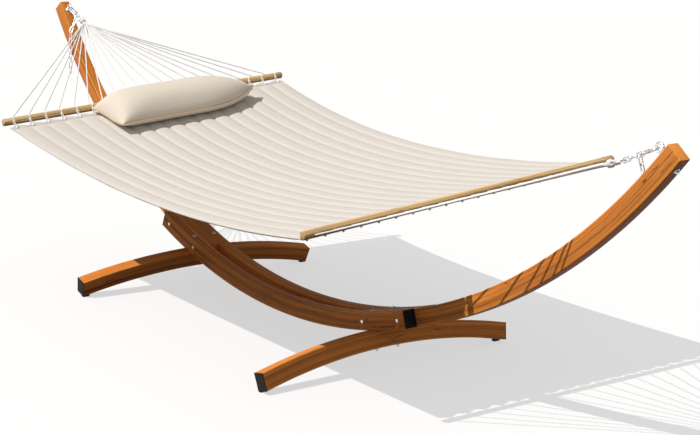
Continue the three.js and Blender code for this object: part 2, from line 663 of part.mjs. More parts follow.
for (const [end, sign] of [['head', -1], ['foot', 1]]) {
  for (const [row, side] of [['front', -1], ['back', 1]]) {
    makeRailPlate(`rail_plate_${end}_${row}`, sign, side);
    makeFootBolt(`${end}_${row}`, sign, side);
  }
  makeSideBolt(`${end}_inner`, sign * SIDE_BOLT_ANGLES[0]);
  makeSideBolt(`${end}_outer`, sign * SIDE_BOLT_ANGLES[1]);
  makeEyeBolt(end, sign);
}

for (const [name, end] of Object.entries(chainEnds)) {
  const quickBow = makeQuickLink(name, end);
  const lastBow = makeCarryingLinks(name, end, quickBow);
  makeTail(name, end);
  makeBar(name, end);
  makeHarness(name, end, lastBow);
}

makeBed();
makePillow();

export default stand;
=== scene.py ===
"""Looks of an arched wooden hammock stand with a quilted spreader-bar hammock and its pillow."""
import math

import bmesh
import bpy
from bpy.props import FloatProperty, FloatVectorProperty, IntProperty, PointerProperty
from mathutils import Matrix, Vector, noise


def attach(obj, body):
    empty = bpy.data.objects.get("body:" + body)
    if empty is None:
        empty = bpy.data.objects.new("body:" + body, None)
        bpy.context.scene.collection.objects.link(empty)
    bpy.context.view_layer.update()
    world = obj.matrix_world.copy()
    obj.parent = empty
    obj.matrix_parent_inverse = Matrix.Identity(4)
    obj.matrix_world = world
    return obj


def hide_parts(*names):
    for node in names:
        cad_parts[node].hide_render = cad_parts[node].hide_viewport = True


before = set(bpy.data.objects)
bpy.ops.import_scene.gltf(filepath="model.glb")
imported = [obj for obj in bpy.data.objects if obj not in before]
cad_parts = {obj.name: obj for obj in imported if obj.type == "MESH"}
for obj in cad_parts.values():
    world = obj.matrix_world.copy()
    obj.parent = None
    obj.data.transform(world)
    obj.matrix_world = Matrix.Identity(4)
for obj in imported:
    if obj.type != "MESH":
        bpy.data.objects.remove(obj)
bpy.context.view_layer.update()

bl_info = {
    "name": "Hammock on Stand",
    "version": (1, 0, 0),
    "blender": (4, 5, 0),
    "location": "3D View > Sidebar > Hammock",
    "description": "Builds the finished surfaces of a hammock on its wooden stand",
    "category": "Object",
}

# ------------------------------------------------------------------ fixed geometry
# Metres; an ANGLE, START, END or TIP is in degrees along the arc from its lowest point.
GAP = 0.0003
SEAT = 0.0003
ARC_INNER = 2.512
BEAM_DEPTH = 0.070
ARC_OUTER = ARC_INNER + BEAM_DEPTH
ARC_MIDDLE = ARC_INNER + BEAM_DEPTH / 2
ARM_HALF = 0.0474 / 2
RAIL_WIDTH = 0.055
RAIL_INSIDE = ARM_HALF + GAP
RAIL_OUTSIDE = RAIL_INSIDE + RAIL_WIDTH
RAIL_MIDDLE = (RAIL_INSIDE + RAIL_OUTSIDE) / 2
RAIL_END = 19.9
ARM_START = 12.9
ARM_TIP = 52.6
SIDE_BOLT_ANGLES = (14.0, 18.9)
CORNER_STEPS = 4
CHAMFER = 0.0015
FLOOR_CLEARANCE = 0.0015

COUNTERBORE = 0.008
COUNTERBORE_RADIUS = 0.011
HEAD_HEIGHT = 0.0053
NUT_RADIUS = 0.0075
NUT_HEIGHT = 0.0065
WASHER_THICK = 0.0016
NUT_TOP = GAP + WASHER_THICK + NUT_HEIGHT
CRISP_ANGLE = math.radians(35)

FOOT_ANGLE = 14.9
FOOT_HALF = 0.600
FOOT_WIDTH = 0.055
FOOT_RADIUS = 2.540
FOOT_END_TILT = math.radians(8)

EYE_ANGLE = 51.5
EYE_RADIUS = 0.015
EYE_WIRE = 0.008
EYE_SETBACK = 0.025
LINK_WIRE = 0.005
LINK_INSIDE = 0.029
LINK_INNER_WIDTH = 0.009
QUICK_WIRE = 0.007
QUICK_INSIDE = 0.061
QUICK_INNER_WIDTH = 0.016
RING_RADIUS = 0.020
RING_WIRE = 0.006

BAR_LENGTH = 1.475
BAR_RADIUS = 0.016
HAMMOCK_ROLL = math.radians(4.87)
CORD_COUNT = 19
CORD_PITCH = 0.077
CORD_SIDES = 8

BED_WIDTH = 1.440
BED_SAG = 0.135
BED_EDGE_SAG = 0.125
BED_SKEW = -0.25
BED_PULL_IN = (0.065, 0.005)
HEM_SETBACK = 0.030
HEM_DROP = 0.022
DOWEL_INSET = 0.008
HEM_WIDTH = 0.030
HEM_STATIONS = (0, 0.0015, 0.004, 0.007, 0.010, 0.013, 0.016, 0.019, 0.023, 0.0275, 0.0300,
                0.0325, 0.036, 0.042, 0.050, 0.060)

PILLOW_FRONT = 0.283
PILLOW_BACK = 0.020
PILLOW_TAPER = 0.130
PILLOW_LENGTH = 0.830
PILLOW_HEIGHT = 0.138
PILLOW_OFFSET = 0.075

UP = Vector((0, 0, 1))
ACROSS = Vector((0, 1, 0))
ROLLED_Y = Vector((0, math.cos(HAMMOCK_ROLL), math.sin(HAMMOCK_ROLL)))
ROLLED_Z = Vector((0, -math.sin(HAMMOCK_ROLL), math.cos(HAMMOCK_ROLL)))


# ------------------------------------------------------------------ settings
def rgb(hex_colour):
    """An sRGB hex colour as linear red, green and blue."""
    channels = (int(hex_colour[i:i + 2], 16) / 255 for i in (1, 3, 5))
    return tuple(c / 12.92 if c <= 0.04045 else ((c + 0.055) / 1.055) ** 2.4 for c in channels)


def colour(name, description, hex_colour):
    return FloatVectorProperty(
        name=name, description=description, subtype="COLOR", size=3, min=0, max=1,
        default=rgb(hex_colour))


class HammockSettings(bpy.types.PropertyGroup):
    channels: IntProperty(
        name="Channels", description="Padded channels across the bed", default=18, min=4, max=40)
    puff: FloatProperty(
        name="Puff", description="Height of a channel above its seams", default=0.0100,
        min=0.001, max=0.02, unit="LENGTH")
    cord_diameter: FloatProperty(
        name="Cord diameter", description="Diameter of the hammock cords", default=0.0060,
        min=0.002, max=0.008, unit="LENGTH")
    edge_radius: FloatProperty(
        name="Edge radius", description="Rounding along the edges of the beams", default=0.0035,
        min=0.0005, max=0.01, unit="LENGTH")
    pillow_pressure: FloatProperty(
        name="Pillow pressure", description="Inner pressure that fills the pillow", default=4.0,
        min=0, max=10)
    sun_strength: FloatProperty(
        name="Key light", description="Strength of the key light", default=3.35, min=0, max=20)
    fill_strength: FloatProperty(
        name="Fill light", description="Strength of the even light from all round", default=0.28,
        min=0, max=5)
    wood: colour("Stand wood", "Lit colour of the stand's oiled wood", "#F59C46")
    wood_dark: colour("Stand wood streaks", "Dark growth lines of the stand's wood", "#8F4818")
    bar_wood: colour("Bar wood", "Colour of the spreader bars", "#F0D09A")
    cloth: colour("Quilt cloth", "Colour of the bed's cloth", "#DAD2C9")
    pillow_cloth: colour("Pillow cloth", "Colour of the pillow's cloth", "#E6DBCA")
    # The piping's tan is painted light: the warm bounced light in the shade under the pillow's seam,
    # painted onto the seam cord.
    piping: colour("Pillow piping", "Colour of the cord sewn into the pillow's seam", "#D8B078")
    cord: colour("Cord", "Colour of the cords", "#FAF9F6")
    steel: colour("Zinc plate", "Colour of the plated steel", "#DDE1E4")


# ------------------------------------------------------------------ mesh code
class Shape:
    """Vertices, faces and a pattern coordinate in metres for each vertex."""

    def __init__(self):
        self.points = []
        self.faces = []
        self.pattern = []

    def grid(self, rows, closed_rows=False, closed_columns=False, caps=False):
        """Rows of (point, pattern) pairs joined by quads."""
        base = len(self.points)
        columns = len(rows[0])
        for row in rows:
            for point, pattern in row:
                self.points.append(tuple(point))
                self.pattern.append(tuple(pattern))
        for i in range(len(rows) if closed_rows else len(rows) - 1):
            below = base + i * columns
            above = base + (i + 1) % len(rows) * columns
            for k in range(columns if closed_columns else columns - 1):
                after = (k + 1) % columns
                self.faces.append((below + k, below + after, above + after, above + k))
        if caps:
            self.faces.append(tuple(base + k for k in reversed(range(columns))))
            top = base + (len(rows) - 1) * columns
            self.faces.append(tuple(top + k for k in range(columns)))

    def tube(self, path, radius, sides=12, closed=False):
        """A round tube along a path; radius is a number or a function of the path index."""
        rows = []
        count = len(path)
        normal = None
        length = 0.0
        for i, point in enumerate(path):
            before = path[i - 1] if closed or i else point
            after = path[(i + 1) % count] if closed or i + 1 < count else point
            heading = (after - before).normalized()
            if normal is None:
                helper = UP if abs(heading.z) < 0.9 else ACROSS
                normal = heading.cross(helper).normalized()
            normal = (normal - heading * normal.dot(heading)).normalized()
            other = heading.cross(normal)
            reach = radius(i) if callable(radius) else radius
            row = []
            for k in range(sides):
                turn = 2 * math.pi * k / sides
                offset = normal * (math.cos(turn) * reach) + other * (math.sin(turn) * reach)
                row.append((point + offset, (length, k / sides, 0)))
            rows.append(row)
            length += (after - point).length
        self.grid(rows, closed_rows=closed, closed_columns=True, caps=not closed)

    def turned(self, origin, axis, profile, sides=24):
        """A profile of (distance, radius) pairs turned about an axis."""
        axis = axis.normalized()
        side = axis.cross(UP if abs(axis.z) < 0.9 else ACROSS).normalized()
        other = axis.cross(side)
        rows = []
        for distance, radius in profile:
            row = []
            for k in range(sides):
                turn = 2 * math.pi * (k + 0.5) / sides
                reach = side * (math.cos(turn) * radius) + other * (math.sin(turn) * radius)
                row.append((origin + axis * distance + reach, (distance, k / sides, radius)))
            rows.append(row)
        self.grid(rows, closed_columns=True, caps=True)

    def piece(self, name, body, slot, material, nodes=(), smooth_angle=40):
        """The finished object, riding on its body and standing for its CAD nodes."""
        mesh = bpy.data.meshes.new(name)
        mesh.from_pydata(self.points, [], self.faces)
        coordinates = mesh.attributes.new("pattern", "FLOAT_VECTOR", "POINT")
        coordinates.data.foreach_set("vector", [c for p in self.pattern for c in p])
        shell = bmesh.new()
        shell.from_mesh(mesh)
        bmesh.ops.recalc_face_normals(shell, faces=shell.faces)
        for face in shell.faces:
            face.smooth = True
        for edge in shell.edges:
            edge.smooth = edge.calc_face_angle(0) < math.radians(smooth_angle)
        shell.to_mesh(mesh)
        shell.free()
        mesh.materials.append(material)
        obj = bpy.data.objects.new(name, mesh)
        bpy.context.scene.collection.objects.link(obj)
        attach(obj, body)
        if nodes:
            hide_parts(*nodes)
        return obj


# ------------------------------------------------------------------ places
def outward(angle):
    return Vector((math.sin(math.radians(angle)), 0, -math.cos(math.radians(angle))))


def along(angle):
    return Vector((math.cos(math.radians(angle)), 0, math.sin(math.radians(angle))))


FOOT_INNER = FOOT_RADIUS - BEAM_DEPTH
FOOT_BOTTOM_HALF = FOOT_HALF - BEAM_DEPTH * math.tan(FOOT_END_TILT)
FOOT_BOTTOM_DROP = FOOT_RADIUS - math.sqrt(FOOT_INNER ** 2 - FOOT_BOTTOM_HALF ** 2)
LOWEST_BELOW_CENTRE = ((ARC_OUTER + GAP + FOOT_BOTTOM_DROP) * math.cos(math.radians(FOOT_ANGLE))
                       + FOOT_WIDTH / 2 * math.sin(math.radians(FOOT_ANGLE)))
ARC_CENTRE = Vector((0, 0, LOWEST_BELOW_CENTRE + FLOOR_CLEARANCE))


def arc_point(radius, angle, y=0.0):
    point = ARC_CENTRE + outward(angle) * radius
    point.y = y
    return point


class ChainEnd:
    """The line of chain, ring, cords and bar at one end of the stand."""

    def __init__(self, name, sign, slope, carrying, tail, bar):
        self.name = name
        self.sign = sign
        self.carrying = carrying
        self.tail = tail
        self.bar = Vector(bar)
        turn = math.radians(slope)
        self.way = Vector((-sign * math.cos(turn), 0, -math.sin(turn)))
        self.upright = Vector((-sign * math.sin(turn), 0, math.cos(turn)))
        self.eye = arc_point(ARC_INNER - EYE_SETBACK, sign * EYE_ANGLE)
        self.quick_start = EYE_RADIUS - EYE_WIRE / 2 - GAP - QUICK_WIRE / 2
        self.link_starts = []
        bow = self.quick_start + QUICK_INSIDE + QUICK_WIRE
        wire = QUICK_WIRE
        for _ in range(carrying):
            start = bow - wire / 2 - GAP - LINK_WIRE / 2
            self.link_starts.append(start)
            bow = start + LINK_INSIDE + LINK_WIRE
            wire = LINK_WIRE
        contact = self.at(bow - LINK_WIRE / 2 - GAP - RING_WIRE / 2)
        middle = Vector((self.bar.x, 0, self.bar.z))
        self.pull = (middle - contact).normalized()
        self.ring = contact + self.pull * RING_RADIUS

    def at(self, distance):
        return self.eye + self.way * distance

    def near_bar(self, out, y, z):
        """A point by the spreader bar: out towards the ring, y along it, z above its axis."""
        return self.bar + Vector((self.sign * out, 0, 0)) + ROLLED_Y * y + ROLLED_Z * z


HEAD = ChainEnd("head", -1, 21.4, 1, (10, -1), (-1.086, -0.031, 0.7715))
FOOT = ChainEnd("foot", 1, 25.9, 3, (6, 1), (1.060, 0.031, 0.754))
ENDS = (HEAD, FOOT)
BED_LENGTH = FOOT.bar.x - HEAD.bar.x - 2 * HEM_SETBACK
CORD_OFFSETS = [(i - (CORD_COUNT - 1) / 2) * CORD_PITCH for i in range(CORD_COUNT)]


def bed_point(across, lengthways, height):
    """A point of the hanging bed: across -1 to 1, lengthways 0 at the head to 1 at the foot."""
    half = across * BED_WIDTH / 2
    start = HEAD.near_bar(-HEM_SETBACK, half, -HEM_DROP)
    end = FOOT.near_bar(-HEM_SETBACK, half, -HEM_DROP)
    bow = 4 * lengthways * (1 - lengthways) * (1 + BED_SKEW * (lengthways - 0.5))
    sag = BED_SAG + (BED_EDGE_SAG - BED_SAG) * across ** 2
    waist = -math.copysign(BED_PULL_IN[0 if across < 0 else 1] * abs(across) ** 1.5, across)
    return start.lerp(end, lengthways) + ROLLED_Y * (waist * bow) + ROLLED_Z * (height - sag * bow)


def bed_height_under(point):
    """Height of a point above the middle surface of the bed."""
    lengthways = (point.x - HEAD.bar.x - HEM_SETBACK) / BED_LENGTH
    lengthways = min(max(lengthways, 0.0), 1.0)
    centre = bed_point(0, lengthways, 0)
    across = (point - centre).dot(ROLLED_Y) / (BED_WIDTH / 2)
    across = min(max(across, -1.0), 1.0)
    return (point - bed_point(across, lengthways, 0)).dot(ROLLED_Z)


# ------------------------------------------------------------------ materials
WHITE = (1, 1, 1)
BLACK = (0, 0, 0)
MIX_FIRST, MIX_SECOND, MIX_RESULT = 6, 7, 2  # a mix node's colour sockets, which share their names
BAND_REPEAT = 2 * math.pi / 20  # a band texture repeats after this much of its coordinate
DIAGONAL_REPEAT = 2 * math.pi / 10
THREAD_SPACING = 0.00138
BRAID_SPACING = 0.00157


def set_inputs(tree, node, inputs):
    """Each input takes a value, or a link from another node's socket."""
    for key, value in inputs.items():
        if isinstance(value, bpy.types.NodeSocket):
            tree.links.new(value, node.inputs[key])
        else:
            node.inputs[key].default_value = value


def add_node(tree, kind, inputs=None, stops=(), **settings):
    """A node with its settings, its inputs and, on a colour ramp, its stops."""
    node = tree.nodes.new(kind)
    for name, value in settings.items():
        setattr(node, name, value)
    if stops:
        elements = node.color_ramp.elements
        while len(elements) < len(stops):
            elements.new(0.5)
        for element, (position, colour_value) in zip(elements, stops):
            element.position = position
            element.color = (*colour_value, 1)
    set_inputs(tree, node, inputs or {})
    return node


def new_material(name):
    material = bpy.data.materials.new(name)
    material.use_nodes = True
    tree = material.node_tree
    return material, tree, tree.nodes["Principled BSDF"]


def pattern_scaled(tree, scale):
    """The piece's own pattern coordinate in metres, scaled per axis."""
    source = add_node(tree, "ShaderNodeAttribute", attribute_name="pattern")
    return add_node(tree, "ShaderNodeMapping", {
        "Vector": source.outputs["Vector"], "Scale": scale}).outputs["Vector"]


def mottle(tree, scale, detail=2.0):
    """An uneven tone with so many patches per metre along each axis of the pattern."""
    return add_node(tree, "ShaderNodeTexNoise", {
        "Vector": pattern_scaled(tree, scale), "Scale": 1.0, "Detail": detail}).outputs["Fac"]


def speckle(tree, scale, detail):
    """An even fine tone in the object's own space."""
    position = add_node(tree, "ShaderNodeTexCoord")
    return add_node(tree, "ShaderNodeTexNoise", {
        "Vector": position.outputs["Object"], "Scale": scale, "Detail": detail}).outputs["Fac"]


def tinted(tree, base, tints):
    """The base colour multiplied by each tint in turn: a tone, its colour stops and its strength."""
    for tone, stops, strength in tints:
        tint = add_node(tree, "ShaderNodeValToRGB", {"Fac": tone}, stops)
        base = add_node(tree, "ShaderNodeMix", {
            "Factor": strength, MIX_FIRST: base, MIX_SECOND: tint.outputs["Color"]},
            data_type="RGBA", blend_type="MULTIPLY").outputs[MIX_RESULT]
    return base


def shade(value, factor):
    return tuple(c * factor for c in value)


def wood_material(name, light, dark, plank, streak, roughness):
    """Sawn and oiled softwood: soft growth lines, fine pores and a few dark checks along the beam.

    Faces that look down get painted shade, darker the more they face the floor, and the rounded
    arrises get a painted highlight, paler than the faces. Pores are 1.4 mm across and hairlines 5 mm,
    coarser than real ones, so that they show."""
    material, tree, shader = new_material(name)
    warp = add_node(tree, "ShaderNodeTexNoise", {
        "Vector": pattern_scaled(tree, (1.6, 16, 16)), "Scale": 1.0, "Detail": 2.0})
    shifted = add_node(tree, "ShaderNodeVectorMath", {
        0: pattern_scaled(tree, (0.8, streak, streak)), 1: warp.outputs["Color"]}, operation="ADD")
    growth = add_node(tree, "ShaderNodeTexNoise", {
        "Vector": shifted.outputs["Vector"], "Scale": 1.0, "Detail": 4.0, "Roughness": 0.55})
    grain = add_node(tree, "ShaderNodeValToRGB", {"Fac": growth.outputs["Fac"]}, (
        (0.26, dark), (0.40, shade(light, 0.76)), (0.50, light), (0.68, shade(light, 1.14))))
    pores = mottle(tree, (14, 700, 700))
    checked = add_node(tree, "ShaderNodeValToRGB", {"Fac": mottle(tree, (4.3, 17, 17), 0.0)},
                       ((0.60, BLACK), (0.66, WHITE)))
    check = (0.16, 0.10, 0.07)
    facing = add_node(tree, "ShaderNodeSeparateXYZ", {
        "Vector": add_node(tree, "ShaderNodeNewGeometry").outputs["Normal"]})
    upward = add_node(tree, "ShaderNodeMapRange", {"Value": facing.outputs["Z"], "From Min": -1.0})
    edge_highlight = add_node(tree, "ShaderNodeAttribute", attribute_name="edge_highlight")
    gloss = add_node(tree, "ShaderNodeMapRange", {
        "Value": growth.outputs["Fac"], "To Min": roughness + 0.12, "To Max": roughness - 0.08})
    set_inputs(tree, shader, {
        "Base Color": tinted(tree, grain.outputs["Color"], (
            (pores, ((0.30, (0.70, 0.60, 0.50)), (0.52, WHITE)), 0.55),
            (mottle(tree, (plank, 8, 14)), ((0.34, (0.86, 0.79, 0.72)), (0.60, WHITE)), 1.0),
            (mottle(tree, (1.1, 190, 190)), ((0.36, (0.68, 0.57, 0.46)), (0.54, WHITE)), 0.85),
            # painted shade: faces turned towards the floor are darkened, the more the darker
            (upward.outputs["Result"], ((0.30, (0.46, 0.38, 0.32)), (0.44, WHITE)), 1.0),
            (mottle(tree, (2.6, 52, 52)), (
                (0.484, WHITE), (0.494, check), (0.500, check), (0.510, WHITE)),
             checked.outputs["Color"]),
            # painted highlight: the rounded arrises are lightened towards white, as if they caught the
            # light
            (edge_highlight.outputs["Fac"], ((0.2, WHITE), (0.8, (1.25, 1.4, 1.6))), 1.0))),
        "Roughness": gloss.outputs["Result"],
        "IOR": 1.5,
        "Specular IOR Level": 0.12,
        "Normal": add_node(tree, "ShaderNodeBump", {
            "Height": pores, "Strength": 0.35, "Distance": 0.0006}).outputs["Normal"]})
    return material


def end_grain_material(light, dark):
    """Sawn end of a beam: growth rings about 8 mm apart, oiled like the sides."""
    material, tree, shader = new_material("oiled_end_grain")
    rings = add_node(tree, "ShaderNodeTexWave", {
        "Vector": pattern_scaled(tree, (0, 24, 24)), "Scale": 1.6, "Distortion": 2.2,
        "Detail": 2.0, "Detail Scale": 0.8}, wave_type="RINGS", rings_direction="X")
    tint = add_node(tree, "ShaderNodeValToRGB", {"Fac": rings.outputs["Fac"]}, (
        (0.1, shade(light, 0.62)), (0.5, shade(light, 1.1))))
    pores = mottle(tree, (500, 500, 500))
    set_inputs(tree, shader, {
        "Base Color": tinted(tree, tint.outputs["Color"], (
            (pores, ((0.35, dark), (0.55, WHITE)), 0.35),)),
        "Roughness": 0.62,
        "IOR": 1.5,
        "Specular IOR Level": 0.12,
        "Normal": add_node(tree, "ShaderNodeBump", {
            "Height": pores, "Strength": 0.4, "Distance": 0.0005}).outputs["Normal"]})
    return material


def steel_material(settings):
    """Bright zinc plate on drawn wire: a soft, slightly mottled metal."""
    material, tree, shader = new_material("zinc_plated_steel")
    spangle = speckle(tree, 900.0, 3.0)
    tint = add_node(tree, "ShaderNodeValToRGB", {"Fac": spangle}, (
        (0.3, shade(settings.steel, 0.78)), (0.7, tuple(settings.steel))))
    gloss = add_node(tree, "ShaderNodeMapRange", {"Value": spangle, "To Min": 0.2, "To Max": 0.38})
    set_inputs(tree, shader, {
        "Base Color": tint.outputs["Color"],
        "Roughness": gloss.outputs["Result"],
        "Metallic": 1.0,
        "Normal": add_node(tree, "ShaderNodeBump", {
            "Height": spangle, "Strength": 0.1, "Distance": 0.0002}).outputs["Normal"]})
    return material


def end_paint_material(name, with_pads):
    """Black satin paint over sawn end grain; the floor pads behind it stay bare brown wood."""
    material, tree, shader = new_material(name)
    stipple = speckle(tree, 600.0, 4.0)
    paint_colour = add_node(tree, "ShaderNodeValToRGB", {"Fac": stipple}, (
        (0.3, rgb("#0B0A09")), (0.75, rgb("#1D1A18")))).outputs["Color"]
    if with_pads:
        bare = add_node(tree, "ShaderNodeValToRGB", {"Fac": stipple}, (
            (0.3, rgb("#5E3418")), (0.75, rgb("#7A4A26"))))
        position = add_node(tree, "ShaderNodeTexCoord")
        place = add_node(tree, "ShaderNodeSeparateXYZ", {"Vector": position.outputs["Object"]})
        reach = add_node(tree, "ShaderNodeMath", {0: place.outputs["Y"]}, operation="ABSOLUTE")
        level = add_node(tree, "ShaderNodeMath", {
            0: place.outputs["Z"], 1: -math.tan(FOOT_END_TILT), 2: reach.outputs["Value"]},
            operation="MULTIPLY_ADD")
        painted = add_node(tree, "ShaderNodeMath", {
            0: level.outputs["Value"], 1: FOOT_BOTTOM_HALF - 0.001}, operation="GREATER_THAN")
        paint_colour = add_node(tree, "ShaderNodeMix", {
            "Factor": painted.outputs["Value"], MIX_FIRST: bare.outputs["Color"],
            MIX_SECOND: paint_colour}, data_type="RGBA").outputs[MIX_RESULT]
    set_inputs(tree, shader, {
        "Base Color": paint_colour,
        "Roughness": 0.6,
        "Specular IOR Level": 0.15,
        "Normal": add_node(tree, "ShaderNodeBump", {
            "Height": stipple, "Strength": 0.3, "Distance": 0.0004}).outputs["Normal"]})
    return material


def cord_material(settings):
    """Braided polyester cord, dull and white: its strands cross every 1.6 mm."""
    material, tree, shader = new_material("braided_polyester_cord")
    along_cord = DIAGONAL_REPEAT / BRAID_SPACING
    strands = [add_node(tree, "ShaderNodeTexWave", {
        "Vector": pattern_scaled(tree, (along_cord, slant, 0)), "Scale": 1.0},
        bands_direction="DIAGONAL") for slant in (3, -3)]
    braid = add_node(tree, "ShaderNodeMath", {
        i: strand.outputs["Fac"] for i, strand in enumerate(strands)}, operation="MULTIPLY")
    tint = add_node(tree, "ShaderNodeValToRGB", {"Fac": braid.outputs["Value"]}, (
        (0.0, shade(settings.cord, 0.88)), (0.5, tuple(settings.cord))))
    set_inputs(tree, shader, {
        "Base Color": tint.outputs["Color"],
        "Roughness": 0.75,
        "Sheen Weight": 0.2,
        "Normal": add_node(tree, "ShaderNodeBump", {
            "Height": braid.outputs["Value"], "Strength": 0.6, "Distance": 0.0004}).outputs["Normal"]})
    return material


def cloth_material(name, light):
    """Plain-weave cloth, soft and matt, with slubs and soft creases.

    The threads are drawn 1.4 mm apart, about twice the real spacing, so that they show."""
    material, tree, shader = new_material(name)
    threads = BAND_REPEAT / THREAD_SPACING
    warp = add_node(tree, "ShaderNodeTexWave", {
        "Vector": pattern_scaled(tree, (threads, 0, 0)), "Scale": 1.0})
    weft = add_node(tree, "ShaderNodeTexWave", {
        "Vector": pattern_scaled(tree, (0, threads, 0)), "Scale": 1.0}, bands_direction="Y")
    weave = add_node(tree, "ShaderNodeMath", {
        0: warp.outputs["Fac"], 1: weft.outputs["Fac"]}, operation="MULTIPLY").outputs["Value"]
    tint = add_node(tree, "ShaderNodeValToRGB", {"Fac": mottle(tree, (60, 240, 60), 4.0)}, (
        (0.25, shade(light, 0.93)), (0.7, tuple(light))))
    height = add_node(tree, "ShaderNodeMath", {
        0: mottle(tree, (9, 26, 9), 3.0), 1: weave, 2: weave}, operation="MULTIPLY_ADD")
    set_inputs(tree, shader, {
        "Base Color": tinted(tree, tint.outputs["Color"], (
            (weave, ((0.0, (0.9, 0.9, 0.9)), (0.6, WHITE)), 0.5),)),
        "Roughness": 0.88,
        "Sheen Weight": 0.15,
        "Sheen Roughness": 0.5,
        "Normal": add_node(tree, "ShaderNodeBump", {
            "Height": height.outputs["Value"], "Strength": 0.5, "Distance": 0.00035}).outputs["Normal"]})
    return material


def stage_floor_material():
    """Smooth pale studio floor that stays light in the shadows."""
    material, tree, shader = new_material("studio_floor")
    mottling = add_node(tree, "ShaderNodeTexNoise", {"Scale": 3.0, "Detail": 2.0})
    tint = add_node(tree, "ShaderNodeValToRGB", {"Fac": mottling.outputs["Fac"]}, (
        (0.0, shade(WHITE, 0.34)), (1.0, shade(WHITE, 0.36))))
    set_inputs(tree, shader, {
        "Base Color": tint.outputs["Color"],
        "Roughness": 0.9,
        "Specular IOR Level": 0.1,
        "Emission Color": (*WHITE, 1),
        "Emission Strength": 0.60})
    return material


MATERIALS = {}


def material_named(name):
    """Each material is made once, from the settings at that time."""
    if name not in MATERIALS:
        chosen = bpy.context.scene.hammock
        wood, wood_dark, bar = (tuple(c) for c in (chosen.wood, chosen.wood_dark, chosen.bar_wood))
        makers = {
            "stand_wood": lambda: wood_material("oiled_larch", wood, wood_dark, 1.1, 62, 0.5),
            "end_grain": lambda: end_grain_material(wood, wood_dark),
            "bar_wood": lambda: wood_material("varnished_ash", bar, shade(bar, 0.55), 2.0, 160, 0.4),
            "zinc_steel": lambda: steel_material(chosen),
            "end_paint": lambda: end_paint_material("black_end_paint", False),
            "foot_cap": lambda: end_paint_material("black_foot_cap", True),
            "cord_white": lambda: cord_material(chosen),
            "quilt_cloth": lambda: cloth_material("quilted_polyester", tuple(chosen.cloth)),
            "piping_painted_bounce": lambda: cloth_material("piping_cotton_painted_bounce", tuple(chosen.piping)),
            "pillow_cloth": lambda: cloth_material("pillow_polyester", tuple(chosen.pillow_cloth)),
        }
        MATERIALS[name] = makers[name]()
    return MATERIALS[name]


# ------------------------------------------------------------------ wood
def rounded_section(width, depth, radius):
    """Outline of a beam's section: (side, depth) pairs, depth counted from its upper face."""
    outline = []
    corners = ((width / 2, 0, 0), (width / 2, depth, 1), (-width / 2, depth, 2), (-width / 2, 0, 3))
    for side, deep, quarter in corners:
        inside = side - math.copysign(radius, side)
        lower = deep + radius if deep == 0 else deep - radius
        for k in range(CORNER_STEPS + 1):
            turn = math.radians(-90 + 90 * quarter + 90 * k / CORNER_STEPS)
            outline.append((inside + radius * math.cos(turn), lower + radius * math.sin(turn)))
    return outline


def beam_shape(place, width, length, radius, stations=96):
    """A beam swept through place(t, side, depth), t from -1 to 1, its ends lightly chamfered."""
    shape = Shape()
    rows = []
    for i in range(stations + 3):
        end = i in (0, stations + 2)
        t = min(max((i - 1) / stations * 2 - 1, -1), 1)
        inner = t * (1 - 2 * CHAMFER / length)
        outline = rounded_section(width, BEAM_DEPTH, radius)
        row = []
        for side, deep in outline:
            if end:
                side *= 1 - 2 * CHAMFER / width
                shrunk = 1 - 2 * CHAMFER / BEAM_DEPTH
                deep = BEAM_DEPTH / 2 + (deep - BEAM_DEPTH / 2) * shrunk
            here = t if end else inner
            row.append((place(here, side, deep), (here * length / 2, side, deep)))
        rows.append(row)
    shape.grid(rows, closed_columns=True, caps=True)
    return shape


def arc_beam(name, start, end, y, width, radius):
    """A curved beam in the stand's arc, centred on y."""
    middle = (start + end) / 2
    half = (end - start) / 2

    def place(t, side, deep):
        return arc_point(ARC_INNER + deep, middle + t * half, y + side)

    length = math.radians(abs(end - start)) * ARC_MIDDLE
    shape = beam_shape(place, width, length, radius)
    return finished_beam(shape, name, 0.37, 0.11)


def finished_beam(shape, name, side_shift, depth_shift):
    """The beam with its own stretch of grain, its rounded arrises marked for a painted highlight and its
    two sawn ends, the last faces made, in end grain."""
    own = hash_of(name)
    shift = Vector((own, side_shift * own, depth_shift * own))
    shape.pattern = [tuple(Vector(p) + shift) for p in shape.pattern]
    wood = material_named("stand_wood")
    beam = shape.piece(name + "_surface", "stand", "stand_wood", wood, [name])
    corner = CORNER_STEPS + 1
    # marks the rounded arrises, which the wood material paints with a highlight
    edge_highlight = beam.data.attributes.new("edge_highlight", "FLOAT", "POINT")
    edge_highlight.data.foreach_set("value", [
        1.0 if 0 < i % corner < CORNER_STEPS else 0.0 for i in range(len(beam.data.vertices))])
    beam.data.materials.append(material_named("end_grain"))
    for polygon in beam.data.polygons[-2:]:
        polygon.material_index = 1
    return beam


def hash_of(name):
    """A steady number for each name, so that no two beams show the same grain."""
    return sum((i + 1) * ord(c) for i, c in enumerate(name)) % 97 * 0.31


def sink_holes(beam, side):
    """Counterbores for the side bolts in the outer face of a rail."""
    cutter = Shape()
    for angle in (s * a for s in (-1, 1) for a in SIDE_BOLT_ANGLES):
        origin = arc_point(ARC_MIDDLE, angle, side * (RAIL_OUTSIDE - COUNTERBORE))
        profile = ((0, COUNTERBORE_RADIUS), (0.03, COUNTERBORE_RADIUS))
        cutter.turned(origin, ACROSS * side, profile, 40)
    cut_away(beam, cutter.piece("sink_cutter", "stand", "stand_wood", material_named("stand_wood")))


def cut_away(piece, tool):
    """Takes the tool's volume out of the piece and keeps the edges of the cut crisp."""
    cut = piece.modifiers.new("cut", "BOOLEAN")
    cut.operation = "DIFFERENCE"
    cut.solver = "EXACT"
    cut.object = tool
    apply_modifiers(piece)
    piece.data.set_sharp_from_angle(angle=CRISP_ANGLE)
    bpy.data.objects.remove(tool)


